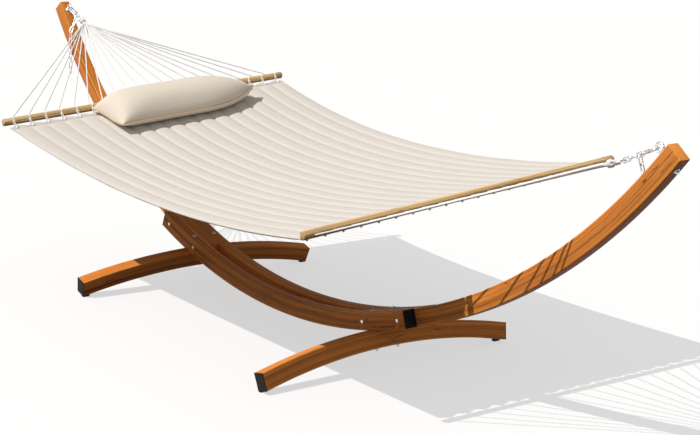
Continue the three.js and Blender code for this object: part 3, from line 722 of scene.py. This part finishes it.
def apply_modifiers(obj):
    """Bakes the object's modifiers into its mesh."""
    bpy.context.view_layer.update()
    evaluated = obj.evaluated_get(bpy.context.evaluated_depsgraph_get())
    baked = bpy.data.meshes.new_from_object(evaluated)
    obj.modifiers.clear()
    obj.data = baked


def foot_beam(name, sign, radius):
    """An arched cross foot under the rails."""
    top = arc_point(ARC_OUTER + GAP, sign * FOOT_ANGLE)
    turn = Matrix.Rotation(-sign * math.radians(FOOT_ANGLE), 4, "Y")

    def place(t, side, deep):
        half = math.asin((FOOT_HALF - deep * math.tan(FOOT_END_TILT)) / (FOOT_RADIUS - deep))
        reach = FOOT_RADIUS - deep
        local = Vector((side, reach * math.sin(t * half), reach * math.cos(t * half) - FOOT_RADIUS))
        return top + turn @ local

    shape = beam_shape(place, FOOT_WIDTH, 2 * FOOT_HALF, radius)
    return finished_beam(shape, name, 0.4, 0)


# ------------------------------------------------------------------ steel
def hexagon(shape, origin, axis, radius, height):
    """A hexagon head or nut with a turned chamfer on its outer face."""
    axis = axis.normalized()
    side = axis.cross(UP if abs(axis.z) < 0.9 else ACROSS).normalized()
    other = axis.cross(side)
    rows = []
    for distance, share in ((0, 0.97), (0.0006, 1.01), (height - 0.0012, 1.01), (height, 0.90),
                            (height + 0.00005, 0.55)):
        row = []
        for k in range(48):
            turn = 2 * math.pi * k / 48
            within = (turn + math.pi / 6) % (math.pi / 3) - math.pi / 6
            flat = radius * math.cos(math.pi / 6) / math.cos(within)
            reach = min(flat, radius * share)
            offset = side * (math.cos(turn) * reach) + other * (math.sin(turn) * reach)
            row.append((origin + axis * distance + offset, (distance, k / 48, 0)))
        rows.append(row)
    shape.grid(rows, closed_columns=True, caps=True)


def washer(shape, origin, axis, radius=0.010):
    shape.turned(origin, axis, ((0, radius - 0.0003), (0.0003, radius), (0.0013, radius),
                                (WASHER_THICK, radius - 0.0004)), 40)


def threaded_end(shape, origin, axis, length, radius=0.0040, pitch=0.00125):
    """A bolt's end with its thread turned as fine grooves and a pointed tip."""
    profile = [(0, radius * 0.9)]
    turns = int(length / pitch)
    for i in range(turns):
        profile.append((i * pitch + pitch * 0.25, radius))
        profile.append((i * pitch + pitch * 0.75, radius * 0.88))
    profile.append((length - 0.0002, radius * 0.86))
    profile.append((length, radius * 0.7))
    shape.turned(origin, axis, profile, 24)


def nut_stack(name, seat, way):
    shape = Shape()
    washer(shape, seat + way * GAP, way)
    hexagon(shape, seat + way * (GAP + WASHER_THICK), way, NUT_RADIUS, NUT_HEIGHT)
    steel = material_named("zinc_steel")
    return shape.piece(name + "_surface", "stand", "zinc_steel", steel, [name], 30)


def stadium(start, way, across, inside, inner_width, wire, steps=14):
    """Centreline of a long loop whose first bow starts at the given point."""
    bow = (inner_width + wire) / 2
    straight = inside + wire - 2 * bow
    centre = start + way * bow
    path = []
    for base, first in ((straight, -math.pi / 2), (0, math.pi / 2)):
        for i in range(steps + 1):
            turn = first + math.pi * i / steps
            path.append(centre + way * (base + bow * math.cos(turn))
                        + across * (bow * math.sin(turn)))
    return path


def circle(centre, first, second, radius, steps=56):
    turns = [2 * math.pi * i / steps for i in range(steps)]
    return [centre + first * (radius * math.cos(t)) + second * (radius * math.sin(t)) for t in turns]


def chain_link(shape, start, way, across):
    """A welded link: the wire swells a little at the weld on one leg."""
    path = stadium(start, way, across, LINK_INSIDE, LINK_INNER_WIDTH, LINK_WIRE)
    shape.tube(path, LINK_WIRE / 2, 12, closed=True)
    leg = start + way * ((LINK_INSIDE + LINK_WIRE) / 2)
    leg += across * ((LINK_INNER_WIDTH + LINK_WIRE) / 2)
    ends = [leg + way * d for d in (-0.0022, -0.0012, -0.0004, 0.0004, 0.0012, 0.0022)]
    swell = (0.0024, 0.00275, 0.0029, 0.0029, 0.00275, 0.0024)
    shape.tube(ends, lambda i: swell[i], 12)


# ------------------------------------------------------------------ cloth
def channel_puff(fraction):
    """Rounded rise of one padded channel, 0 on its seams and 1 at its crown."""
    return (1 - abs(2 * fraction - 1) ** 2.3) ** 0.62


def bed_half_thickness(across, from_edge, channels, puff, top):
    """Half thickness of the quilt at a distance from its nearer hem edge."""
    position = (across + 1) / 2 * channels
    fraction = position - math.floor(position)
    cell = math.floor(position)
    seam = 0.0017
    side = min(1.0, (1 - abs(across)) * BED_WIDTH / 2 / 0.006)
    fill = 0.86 + 0.2 * noise.noise(Vector((cell * 3.7, from_edge * 4.0, 1.0 + top)))
    pinch = math.exp(-(min(fraction, 1 - fraction) / 0.16) ** 2)
    pucker = 0.0011 * pinch * noise.noise(Vector((cell * 5.1, from_edge * 62, 7.0)))
    body = seam + puff * channel_puff(fraction) * fill + pucker
    if from_edge < HEM_WIDTH:
        reach = abs(from_edge - 0.009) / 0.0095
        tunnel = 0.0062 * math.sqrt(max(0.0, 1 - min(reach, 1.0) ** 2))
        ripple = 0.0006 * noise.noise(Vector((across * 60, from_edge * 90, top)))
        body = max(0.0012, tunnel) + ripple
    elif from_edge < HEM_WIDTH + 0.028:
        blend = (from_edge - HEM_WIDTH) / 0.028
        body = 0.0015 + (body - 0.0015) * math.sqrt(blend * (2 - blend))
    return body * (0.35 + 0.65 * side)


def bed_shape(channels, puff):
    """The quilt: two skins pinched together along lengthwise seams, with a hem at each end."""
    shape = Shape()
    per_channel = 12
    columns = channels * per_channel
    inner = 118
    hem = HEM_STATIONS[-1]
    spots = [*HEM_STATIONS]
    spots += [hem + (BED_LENGTH - 2 * hem) * (i + 1) / (inner + 1) for i in range(inner)]
    spots += [BED_LENGTH - s for s in reversed(HEM_STATIONS)]
    for top in (1, -1):
        rows = []
        for spot in spots:
            row = []
            for k in range(columns + 1):
                across = k / columns * 2 - 1
                from_edge = min(spot, BED_LENGTH - spot)
                height = top * bed_half_thickness(across, from_edge, channels, puff, top)
                position = k / per_channel
                notch = abs(position - round(position)) * 2
                recess = 0.007 - 0.019 * min(1.0, notch) ** 0.6 if 0 < k < columns else 0.004
                taper = max(0.0, 1 - from_edge / 0.024)
                shift = recess * taper if spot < BED_LENGTH / 2 else -recess * taper
                sway = 0.0018 * noise.noise(Vector((round(position) * 2.3, spot * 5, 3.0)))
                across_moved = across + sway / (BED_WIDTH / 2) * min(1.0, from_edge / 0.1)
                point = bed_point(across_moved, (spot + shift) / BED_LENGTH, height)
                row.append((point, (spot, across * BED_WIDTH / 2, top)))
            rows.append(row if top > 0 else row[::-1])
        shape.grid(rows)
    wall_up(shape, len(spots), columns + 1)
    return shape


def wall_up(shape, rows, columns):
    """Closes the edge between the upper and the lower skin."""
    size = rows * columns

    def upper(i, k):
        return i * columns + k

    def lower(i, k):
        return size + i * columns + (columns - 1 - k)

    for i in range(rows - 1):
        shape.faces.append((upper(i, 0), upper(i + 1, 0), lower(i + 1, 0), lower(i, 0)))
        last = columns - 1
        shape.faces.append((upper(i + 1, last), upper(i, last), lower(i, last), lower(i + 1, last)))
    for k in range(columns - 1):
        shape.faces.append((upper(0, k + 1), upper(0, k), lower(0, k), lower(0, k + 1)))
        end = rows - 1
        shape.faces.append((upper(end, k), upper(end, k + 1), lower(end, k + 1), lower(end, k)))


def pillow_point(u, v, layer, shrink):
    """A point of the pillow's two skins, u towards the foot end and v along the bar."""
    a = u * 2 - 1
    b = v * 2 - 1
    fullness = (1 - abs(a) ** 2.6) ** 0.6 * (1 - abs(b) ** (7 if b < 0 else 3)) ** 0.6
    taper = PILLOW_TAPER * max(0.0, (b - 0.1) / 0.9) ** 2.3
    depth = PILLOW_FRONT - PILLOW_BACK - 2 * taper
    middle = (PILLOW_FRONT + PILLOW_BACK) / 2
    deep = depth / 2 * shrink * a * (1 - 0.05 * (1 - b * b))
    wide = PILLOW_LENGTH / 2 * shrink * b * (1 - 0.03 * (1 - a * a))
    lengthways = (middle + deep - HEM_SETBACK) / BED_LENGTH
    across = (PILLOW_OFFSET + wide) / (BED_WIDTH / 2)
    seam = 0.020 + 0.034 * max(0.0, a) ** 2 + 0.024 * max(0.0, (b - 0.3) / 0.7) ** 2
    if layer > 0:
        height = seam + (PILLOW_HEIGHT - seam) * fullness * shrink
    else:
        height = seam - (seam - 0.008) * (1 - abs(a) ** 2.2) * (1 - abs(b) ** 6)
    return bed_point(across, lengthways, height), (deep, wide, layer)


def pillow_shape(columns=36, rows=84, shrink=0.97):
    """Two skins sewn together round their edge."""
    shape = Shape()
    index = {}
    for layer in (1, -1):
        for i in range(columns + 1):
            for j in range(rows + 1):
                border = i in (0, columns) or j in (0, rows)
                key = (0 if border else layer, i, j)
                if key not in index:
                    point, pattern = pillow_point(i / columns, j / rows, layer, shrink)
                    index[key] = len(shape.points)
                    shape.points.append(tuple(point))
                    shape.pattern.append(pattern)
    border_keys = {(i, j) for i in range(columns + 1) for j in range(rows + 1)
                   if i in (0, columns) or j in (0, rows)}
    for layer in (1, -1):
        for i in range(columns):
            for j in range(rows):
                corners = ((i, j), (i + 1, j), (i + 1, j + 1), (i, j + 1))
                face = tuple(index[(0 if c in border_keys else layer, *c)] for c in corners)
                shape.faces.append(face if layer > 0 else face[::-1])
    ring = [(i, 0) for i in range(columns)] + [(columns, j) for j in range(rows)]
    ring += [(i, rows) for i in range(columns, 0, -1)] + [(0, j) for j in range(rows, 0, -1)]
    return shape, [index[(0, *c)] for c in ring]


def inflate(obj, pressure, cap):
    """Fills a sewn skin by a short cloth run, no point moving further than the cap."""
    start = [v.co.copy() for v in obj.data.vertices]
    cloth = obj.modifiers.new("fill", "CLOTH")
    cloth.settings.quality = 6
    cloth.settings.mass = 0.2
    cloth.settings.tension_stiffness = 25
    cloth.settings.compression_stiffness = 12
    cloth.settings.bending_stiffness = 0.4
    cloth.settings.use_pressure = True
    cloth.settings.uniform_pressure_force = pressure
    cloth.settings.effector_weights.gravity = 0
    scene = bpy.context.scene
    for step in range(1, 21):
        scene.frame_set(step)
    evaluated = obj.evaluated_get(bpy.context.evaluated_depsgraph_get())
    moved = [v.co.copy() for v in evaluated.data.vertices]
    obj.modifiers.clear()
    scene.frame_set(1)
    for vertex, before, after in zip(obj.data.vertices, start, moved):
        step = after - before
        if step.length > cap:
            step *= cap / step.length
        vertex.co = before + step


def rest_on_bed(obj, clearance):
    """Lifts every point that would touch the quilt."""
    for vertex in obj.data.vertices:
        low = clearance - bed_height_under(vertex.co)
        if low > 0:
            vertex.co += ROLLED_Z * low


# ------------------------------------------------------------------ operators
class HAMMOCK_OT_wood(bpy.types.Operator):
    """Build the rails, the arms and the cross feet"""
    bl_idname = "hammock.wood"
    bl_label = "Wooden Stand"

    def execute(self, context):
        radius = context.scene.hammock.edge_radius
        for name, side in (("rail_front", -1), ("rail_back", 1)):
            rail = arc_beam(name, -RAIL_END, RAIL_END, side * RAIL_MIDDLE, RAIL_WIDTH, radius)
            sink_holes(rail, side)
        arc_beam("arm_head", -ARM_TIP, -ARM_START, 0, 2 * ARM_HALF, radius)
        arc_beam("arm_foot", ARM_START, ARM_TIP, 0, 2 * ARM_HALF, radius)
        foot_beam("foot_beam_head", -1, radius)
        foot_beam("foot_beam_foot", 1, radius)
        return {"FINISHED"}


class HAMMOCK_OT_bolts(bpy.types.Operator):
    """Build the side bolts, the foot bolts and their nuts"""
    bl_idname = "hammock.bolts"
    bl_label = "Bolts"

    def execute(self, context):
        steel = material_named("zinc_steel")
        seat = RAIL_OUTSIDE - COUNTERBORE
        for end in ENDS:
            for row, angle in zip(("inner", "outer"), SIDE_BOLT_ANGLES):
                head = arc_point(ARC_MIDDLE, end.sign * angle, -seat - GAP)
                shape = Shape()
                washer(shape, head, -ACROSS)
                hexagon(shape, head - ACROSS * WASHER_THICK, -ACROSS, NUT_RADIUS, HEAD_HEIGHT)
                back = arc_point(ARC_MIDDLE, end.sign * angle, seat)
                threaded_end(shape, back + ACROSS * (NUT_TOP + 0.0001), ACROSS, 0.0005)
                node = f"side_bolt_{end.name}_{row}"
                shape.piece(node + "_surface", "stand", "zinc_steel", steel, [node], 30)
                nut_stack(f"side_nut_{end.name}_{row}", back, ACROSS)
            for row, side in (("front", -1), ("back", 1)):
                self.foot_bolt(end, row, side, steel)
        return {"FINISHED"}

    def foot_bolt(self, end, row, side, steel):
        angle = end.sign * FOOT_ANGLE
        y = side * RAIL_MIDDLE
        inward = -outward(angle)
        dome = [(0, 0.0088), (0.0004, 0.009)]
        dome += [(0.005 * math.sin(t), 0.009 * math.cos(t) ** 0.8)
                 for t in (0.3, 0.55, 0.8, 1.05, 1.3, 1.5)]
        shape = Shape()
        shape.turned(arc_point(ARC_INNER - SEAT - GAP, angle, y), inward, dome, 40)
        drop = FOOT_RADIUS - math.sqrt(FOOT_RADIUS ** 2 - (RAIL_MIDDLE + 0.010) ** 2)
        seat = ARC_OUTER + GAP + BEAM_DEPTH + drop + SEAT
        threaded_end(shape, arc_point(seat + NUT_TOP, angle, y), outward(angle), 0.004)
        node = f"foot_bolt_{end.name}_{row}"
        shape.piece(node + "_surface", "stand", "zinc_steel", steel, [node], 30)
        nut_stack(f"foot_nut_{end.name}_{row}", arc_point(seat, angle, y), outward(angle))


class HAMMOCK_OT_chains(bpy.types.Operator):
    """Build the eye bolts, the quick links, the chain and the harness rings"""
    bl_idname = "hammock.chains"
    bl_label = "Eye Bolts and Chains"

    def execute(self, context):
        for end in ENDS:
            self.eye_bolt(end)
            self.quick_link(end)
            for i, start in enumerate(end.link_starts):
                shape = Shape()
                chain_link(shape, end.at(start), end.way, end.upright if i % 2 == 0 else ACROSS)
                self.finish(shape, f"chain_{end.name}_{i + 1}", "stand")
            self.spare_chain(end)
            shape = Shape()
            ring = circle(end.ring, end.pull, ACROSS, RING_RADIUS)
            shape.tube(ring, RING_WIRE / 2, 16, closed=True)
            self.finish(shape, f"harness_ring_{end.name}", "sling")
        return {"FINISHED"}

    def finish(self, shape, node, body):
        shape.piece(node + "_surface", body, "zinc_steel", material_named("zinc_steel"), [node], 40)

    def eye_bolt(self, end):
        angle = end.sign * EYE_ANGLE
        inward = -outward(angle)
        shape = Shape()
        shape.tube(circle(end.eye, inward, along(angle), EYE_RADIUS), EYE_WIRE / 2, 16, closed=True)
        seat = arc_point(ARC_INNER - SEAT - GAP, angle)
        shape.turned(seat, inward, ((0, 0.0097), (0.0004, 0.010), (0.0022, 0.010), (0.003, 0.0085),
                                    (0.006, 0.0052), (0.0075, 0.0042)), 40)
        threaded_end(shape, arc_point(ARC_OUTER + NUT_TOP, angle), outward(angle), 0.004)
        self.finish(shape, f"eye_bolt_{end.name}", "stand")
        nut_stack(f"eye_nut_{end.name}", arc_point(ARC_OUTER, angle), outward(angle))

    def quick_link(self, end):
        start = end.at(end.quick_start)
        shape = Shape()
        shape.tube(stadium(start, end.way, ACROSS, QUICK_INSIDE, QUICK_INNER_WIDTH, QUICK_WIRE, 20),
                   QUICK_WIRE / 2, 16, closed=True)
        leg = -ACROSS * (QUICK_INNER_WIDTH + QUICK_WIRE) / 2
        hexagon(shape, start + leg + end.way * 0.026, end.way, 0.0056, 0.020)
        threaded_end(shape, start + leg + end.way * 0.0465, end.way, 0.006, 0.0037)
        self.finish(shape, f"quick_link_{end.name}", "stand")

    def spare_chain(self, end):
        count, side = end.tail
        lean = math.radians(24.4)
        hook = end.at(end.link_starts[0] + LINK_INSIDE / 2 + LINK_WIRE / 2 + 0.002)
        hook -= end.upright * (LINK_INNER_WIDTH + LINK_WIRE) / 2
        way = Vector((0, side * math.sin(lean), -math.cos(lean)))
        start = hook - way * (LINK_WIRE + 2 * GAP)
        shape = Shape()
        for i in range(count):
            leaning = i < 3
            heading = way if leaning else -UP
            flat = Vector((0, -way.z, way.y)) if leaning else ACROSS
            chain_link(shape, start, heading, flat if i % 2 == 0 else Vector((1, 0, 0)))
            start = start + heading * (LINK_INSIDE + 0.0004)
        self.finish(shape, f"chain_tail_{end.name}", f"spare_chain_{end.name}")


class HAMMOCK_OT_bars(bpy.types.Operator):
    """Build the drilled spreader bars"""
    bl_idname = "hammock.bars"
    bl_label = "Spreader Bars"

    def execute(self, context):
        for end in ENDS:
            shape = Shape()
            half = BAR_LENGTH / 2
            stops = [(-half, 0.0125), (-half + 0.0008, 0.0145), (-half + 0.003, BAR_RADIUS)]
            stops += [(-half + 0.003 + (BAR_LENGTH - 0.006) * i / 24, BAR_RADIUS)
                      for i in range(1, 24)]
            stops += [(half - 0.003, BAR_RADIUS), (half - 0.0008, 0.0145), (half, 0.0125)]
            shape.turned(end.bar, ROLLED_Y, stops, 48)
            shape.pattern = [
                (along_bar + 3 * end.sign, BAR_RADIUS * math.cos(2 * math.pi * around),
                 BAR_RADIUS * math.sin(2 * math.pi * around))
                for along_bar, around, _ in shape.pattern]
            node = f"spreader_bar_{end.name}"
            wood = material_named("bar_wood")
            bar = shape.piece(node + "_surface", "sling", "bar_wood", wood, [node], 30)
            cutter = Shape()
            for y in CORD_OFFSETS:
                cutter.turned(end.near_bar(-0.03, y, 0), Vector((end.sign, 0, 0)),
                              ((0, 0.0040), (0.06, 0.0040)), 20)
            cut_away(bar, cutter.piece("hole_cutter", "sling", "bar_wood", wood))
        return {"FINISHED"}


class HAMMOCK_OT_cords(bpy.types.Operator):
    """Build the cords between the rings, the bars and the hems"""
    bl_idname = "hammock.cords"
    bl_label = "Cords"

    def execute(self, context):
        radius = context.scene.hammock.cord_diameter / 2
        for end in ENDS:
            upright = end.pull.cross(ACROSS)
            shape = Shape()

            def clew(distance, y, z):
                return end.ring + end.pull * distance + ACROSS * y + upright * z

            last = (CORD_COUNT - 1) / 2
            for i, y in enumerate(CORD_OFFSETS):
                turn = 2.4 * i
                spread = 0.0018 * math.sqrt(i + 0.5)
                inner = clew(0.030, spread * math.cos(turn), spread * math.sin(turn))
                throat = clew(0.046, spread * math.cos(turn), spread * math.sin(turn))
                fan = clew(0.070, (i - last) / last * 0.022, 0.004 * math.sin(turn))
                entry = end.near_bar(BAR_RADIUS + 0.003, y, 0)
                middle = fan.lerp(entry, 0.5) - UP * 0.002
                path = [inner, throat, fan, middle, entry, end.near_bar(0, y, 0)]
                path.append(end.near_bar(-BAR_RADIUS - 0.003, y, -0.001))
                shape.tube(smooth_path(path, 6), radius, CORD_SIDES)
                self.hem_loop(shape, end, y, radius)
            for i in range(3):
                coil = circle(clew(0.0345 + i * 1.95 * radius, 0, 0), ACROSS, upright, 0.0112, 28)
                shape.tube(coil, radius, CORD_SIDES, closed=True)
            for i in range(5):
                offset = (i - 2) * 2.05 * radius
                path = [clew(0.040, offset * 0.5, 0.003), clew(0.030, offset * 0.8, 0.0062)]
                for step in range(7):
                    around = math.radians(60 + 240 * step / 6)
                    depth = math.sqrt(max(RING_RADIUS ** 2 - offset ** 2, 0))
                    out = RING_WIRE / 2 + radius
                    path.append(clew(depth + out * math.cos(around), offset, out * math.sin(around)))
                path += [clew(0.030, offset * 0.8, -0.0062), clew(0.040, offset * 0.5, -0.003)]
                shape.tube(smooth_path(path, 4), radius, CORD_SIDES)
            node = f"cords_{end.name}"
            cord = material_named("cord_white")
            shape.piece(node + "_surface", "sling", "cord_white", cord, [node], 60)
        return {"FINISHED"}

    def hem_loop(self, shape, end, y, radius):
        """The cord's turn round the dowel inside the hem."""
        inset = -HEM_SETBACK - DOWEL_INSET
        drop = 0.0015
        reach = 0.0044 + radius
        for side in (-1, 1):
            if side > 0 and end is HEAD:
                path = [end.near_bar(0.006, y, BAR_RADIUS - 0.002)]
                path.append(end.near_bar(-0.004, y, BAR_RADIUS + radius * 0.7))
                path.append(end.near_bar(
                    -BAR_RADIUS * 0.8, y + radius * 0.4, BAR_RADIUS * 0.7 + radius * 0.6))
            else:
                path = [end.near_bar(-0.004, y, 0.003)]
            path.append(end.near_bar(-BAR_RADIUS - radius * 0.8, y + side * radius * 0.8, 0.002))
            path.append(end.near_bar(-BAR_RADIUS - 0.006, y + side * radius * 0.9, -0.006))
            skin = -HEM_DROP + reach * side - drop
            path.append(end.near_bar(inset + 0.008, y + side * radius * 1.05, skin))
            path.append(end.near_bar(inset, y + side * radius * 0.6, skin))
            path.append(end.near_bar(inset - reach, y, -HEM_DROP - drop))
            shape.tube(smooth_path(path, 5), radius, CORD_SIDES)


def smooth_path(points, steps):
    """A path through the points with rounded corners."""
    path = []
    for i in range(len(points) - 1):
        before = points[max(i - 1, 0)]
        after = points[min(i + 2, len(points) - 1)]
        near, far = points[i], points[i + 1]
        length = (far - near).length
        start = (far - before).normalized() * length * 0.33
        end = (after - near).normalized() * length * 0.33
        for k in range(steps):
            t = k / steps
            a, b, c, d = (1 - t) ** 3, 3 * t * (1 - t) ** 2, 3 * t * t * (1 - t), t ** 3
            path.append(near * a + (near + start) * b + (far - end) * c + far * d)
    path.append(points[-1])
    return path


class HAMMOCK_OT_bed(bpy.types.Operator):
    """Build the quilted bed and the binding along its sides"""
    bl_idname = "hammock.bed"
    bl_label = "Quilted Bed"

    def execute(self, context):
        settings = context.scene.hammock
        shape = bed_shape(settings.channels, settings.puff)
        cloth = material_named("quilt_cloth")
        bed = shape.piece("quilted_bed", "sling", "quilt_cloth", cloth, ["bed"], 180)
        binding = Shape()
        for side in (-1, 1):
            path = [bed_point(side * 0.9965, i / 60, 0) for i in range(61)]
            binding.tube(path, 0.0026, 8)
        binding.piece("edge_binding", "sling", "quilt_cloth", cloth)
        return {"FINISHED"}


class HAMMOCK_OT_pillow(bpy.types.Operator):
    """Build and fill the pillow"""
    bl_idname = "hammock.pillow"
    bl_label = "Pillow"

    def execute(self, context):
        shape, ring = pillow_shape()
        cloth = material_named("pillow_cloth")
        pillow = shape.piece("filled_pillow", "pillow", "pillow_cloth", cloth, ["pillow"], 180)
        inflate(pillow, context.scene.hammock.pillow_pressure, 0.005)
        ease = pillow.modifiers.new("ease", "SMOOTH")
        ease.factor = 0.5
        ease.iterations = 6
        apply_modifiers(pillow)
        rest_on_bed(pillow, 0.0125)
        path = [pillow.data.vertices[i].co.copy() for i in ring]
        smooth = pillow.modifiers.new("finer", "SUBSURF")
        smooth.levels = 1
        smooth.render_levels = 1
        apply_modifiers(pillow)
        rest_on_bed(pillow, 0.0115)
        for polygon in pillow.data.polygons:
            polygon.use_smooth = True
        piping = Shape()
        piping.tube(path, 0.0022, 8, closed=True)
        # the seam cord takes the tan of painted warm bounce light
        piping.piece("pillow_seam", "pillow", "pillow_cloth", material_named("piping_painted_bounce"))
        return {"FINISHED"}


class HAMMOCK_OT_plates(bpy.types.Operator):
    """Finish the end plates and the hem dowels"""
    bl_idname = "hammock.plates"
    bl_label = "End Plates and Dowels"

    def execute(self, context):
        for name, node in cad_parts.items():
            if "plate" in name:
                paint(node, "end_paint")
            elif "_cap_" in name:
                paint(node, "foot_cap")
            elif name.startswith("hem_dowel"):
                paint(node, "bar_wood")
        return {"FINISHED"}


def paint(node, slot):
    """A carried-over piece takes its finish from the slot's material."""
    node.data.materials.clear()
    node.data.materials.append(material_named(slot))


FLOOR_SIZE = 4000
KEY_WAY = Vector((0.29, 0.73, -1))
SOFT_BOX_PLACE = Vector((1.0, -5.0, 4.5))
LENS_LENGTH = 78.9
CAMERA_PLACE = Vector((5.0274, -3.6124, 1.9782))
CAMERA_TARGET = Vector((-0.1737, 0.4601, 0.3443))
CAMERA_ROLL = math.radians(2.54)


class HAMMOCK_OT_stage(bpy.types.Operator):
    """Set the floor, the lights and the camera"""
    bl_idname = "hammock.stage"
    bl_label = "Stage"

    def execute(self, context):
        scene = context.scene
        settings = scene.hammock
        bpy.ops.mesh.primitive_plane_add(size=FLOOR_SIZE)
        floor = context.active_object
        floor.name = "studio_floor"
        floor.data.materials.append(stage_floor_material())
        floor.visible_diffuse = False

        sun = bpy.data.lights.new("key_light", "SUN")
        sun.energy = settings.sun_strength
        sun.angle = math.radians(0.5)
        sun.color = (1.0, 0.975, 0.94)
        key = bpy.data.objects.new("key_light", sun)
        key.rotation_euler = KEY_WAY.to_track_quat("-Z", "Y").to_euler()
        scene.collection.objects.link(key)

        panel = bpy.data.lights.new("soft_box", "AREA")
        panel.shape = "RECTANGLE"
        panel.size = 5
        panel.size_y = 3
        panel.energy = 900
        box = bpy.data.objects.new("soft_box", panel)
        box.location = SOFT_BOX_PLACE
        box.rotation_euler = (Vector((0, 0, 0.6)) - box.location).to_track_quat("-Z", "Y").to_euler()
        box.visible_diffuse = False
        scene.collection.objects.link(box)

        world = bpy.data.worlds.new("studio_fill")
        world.use_nodes = True
        background = world.node_tree.nodes["Background"]
        tree = world.node_tree
        heading = add_node(tree, "ShaderNodeTexCoord")
        height = add_node(tree, "ShaderNodeSeparateXYZ", {"Vector": heading.outputs["Generated"]})
        upward = add_node(tree, "ShaderNodeMapRange", {
            "Value": height.outputs["Z"], "From Min": -1.0})
        sky = add_node(tree, "ShaderNodeValToRGB", {"Fac": upward.outputs["Result"]}, (
            (0.36, (0.26, 0.235, 0.21)), (0.61, shade(WHITE, 1.2))))
        set_inputs(tree, background, {
            "Color": sky.outputs["Color"], "Strength": settings.fill_strength})
        scene.world = world

        lens = bpy.data.cameras.new("camera")
        lens.sensor_width = 36
        lens.lens = LENS_LENGTH
        lens.clip_end = 5000
        camera = bpy.data.objects.new("camera", lens)
        forward = (CAMERA_TARGET - CAMERA_PLACE).normalized()
        level = forward.cross(UP).normalized()
        above = level.cross(forward)
        right = level * math.cos(CAMERA_ROLL) + above * math.sin(CAMERA_ROLL)
        top = above * math.cos(CAMERA_ROLL) - level * math.sin(CAMERA_ROLL)
        turn = Matrix((right, top, -forward)).transposed().to_4x4()
        camera.matrix_world = Matrix.Translation(CAMERA_PLACE) @ turn
        scene.collection.objects.link(camera)
        scene.camera = camera
        scene.view_settings.view_transform = "Standard"
        return {"FINISHED"}


OPERATORS = (HAMMOCK_OT_wood, HAMMOCK_OT_bolts, HAMMOCK_OT_chains, HAMMOCK_OT_bars, HAMMOCK_OT_cords,
             HAMMOCK_OT_bed, HAMMOCK_OT_pillow, HAMMOCK_OT_plates, HAMMOCK_OT_stage)


class HAMMOCK_PT_sidebar(bpy.types.Panel):
    """Settings and build steps of the hammock"""
    bl_idname = "HAMMOCK_PT_sidebar"
    bl_label = "Hammock on Stand"
    bl_space_type = "VIEW_3D"
    bl_region_type = "UI"
    bl_category = "Hammock"

    def draw(self, context):
        for name in HammockSettings.__annotations__:
            self.layout.prop(context.scene.hammock, name)
        for operator in OPERATORS:
            self.layout.operator(operator.bl_idname)


CLASSES = (HammockSettings, *OPERATORS, HAMMOCK_PT_sidebar)


def register():
    for cls in CLASSES:
        bpy.utils.register_class(cls)
    bpy.types.Scene.hammock = PointerProperty(type=HammockSettings)


def unregister():
    del bpy.types.Scene.hammock
    for cls in reversed(CLASSES):
        bpy.utils.unregister_class(cls)


def main():
    register()
    for operator in OPERATORS:
        group, name = operator.bl_idname.split(".")
        getattr(getattr(bpy.ops, group), name)()


if __name__ == "__main__":
    main()
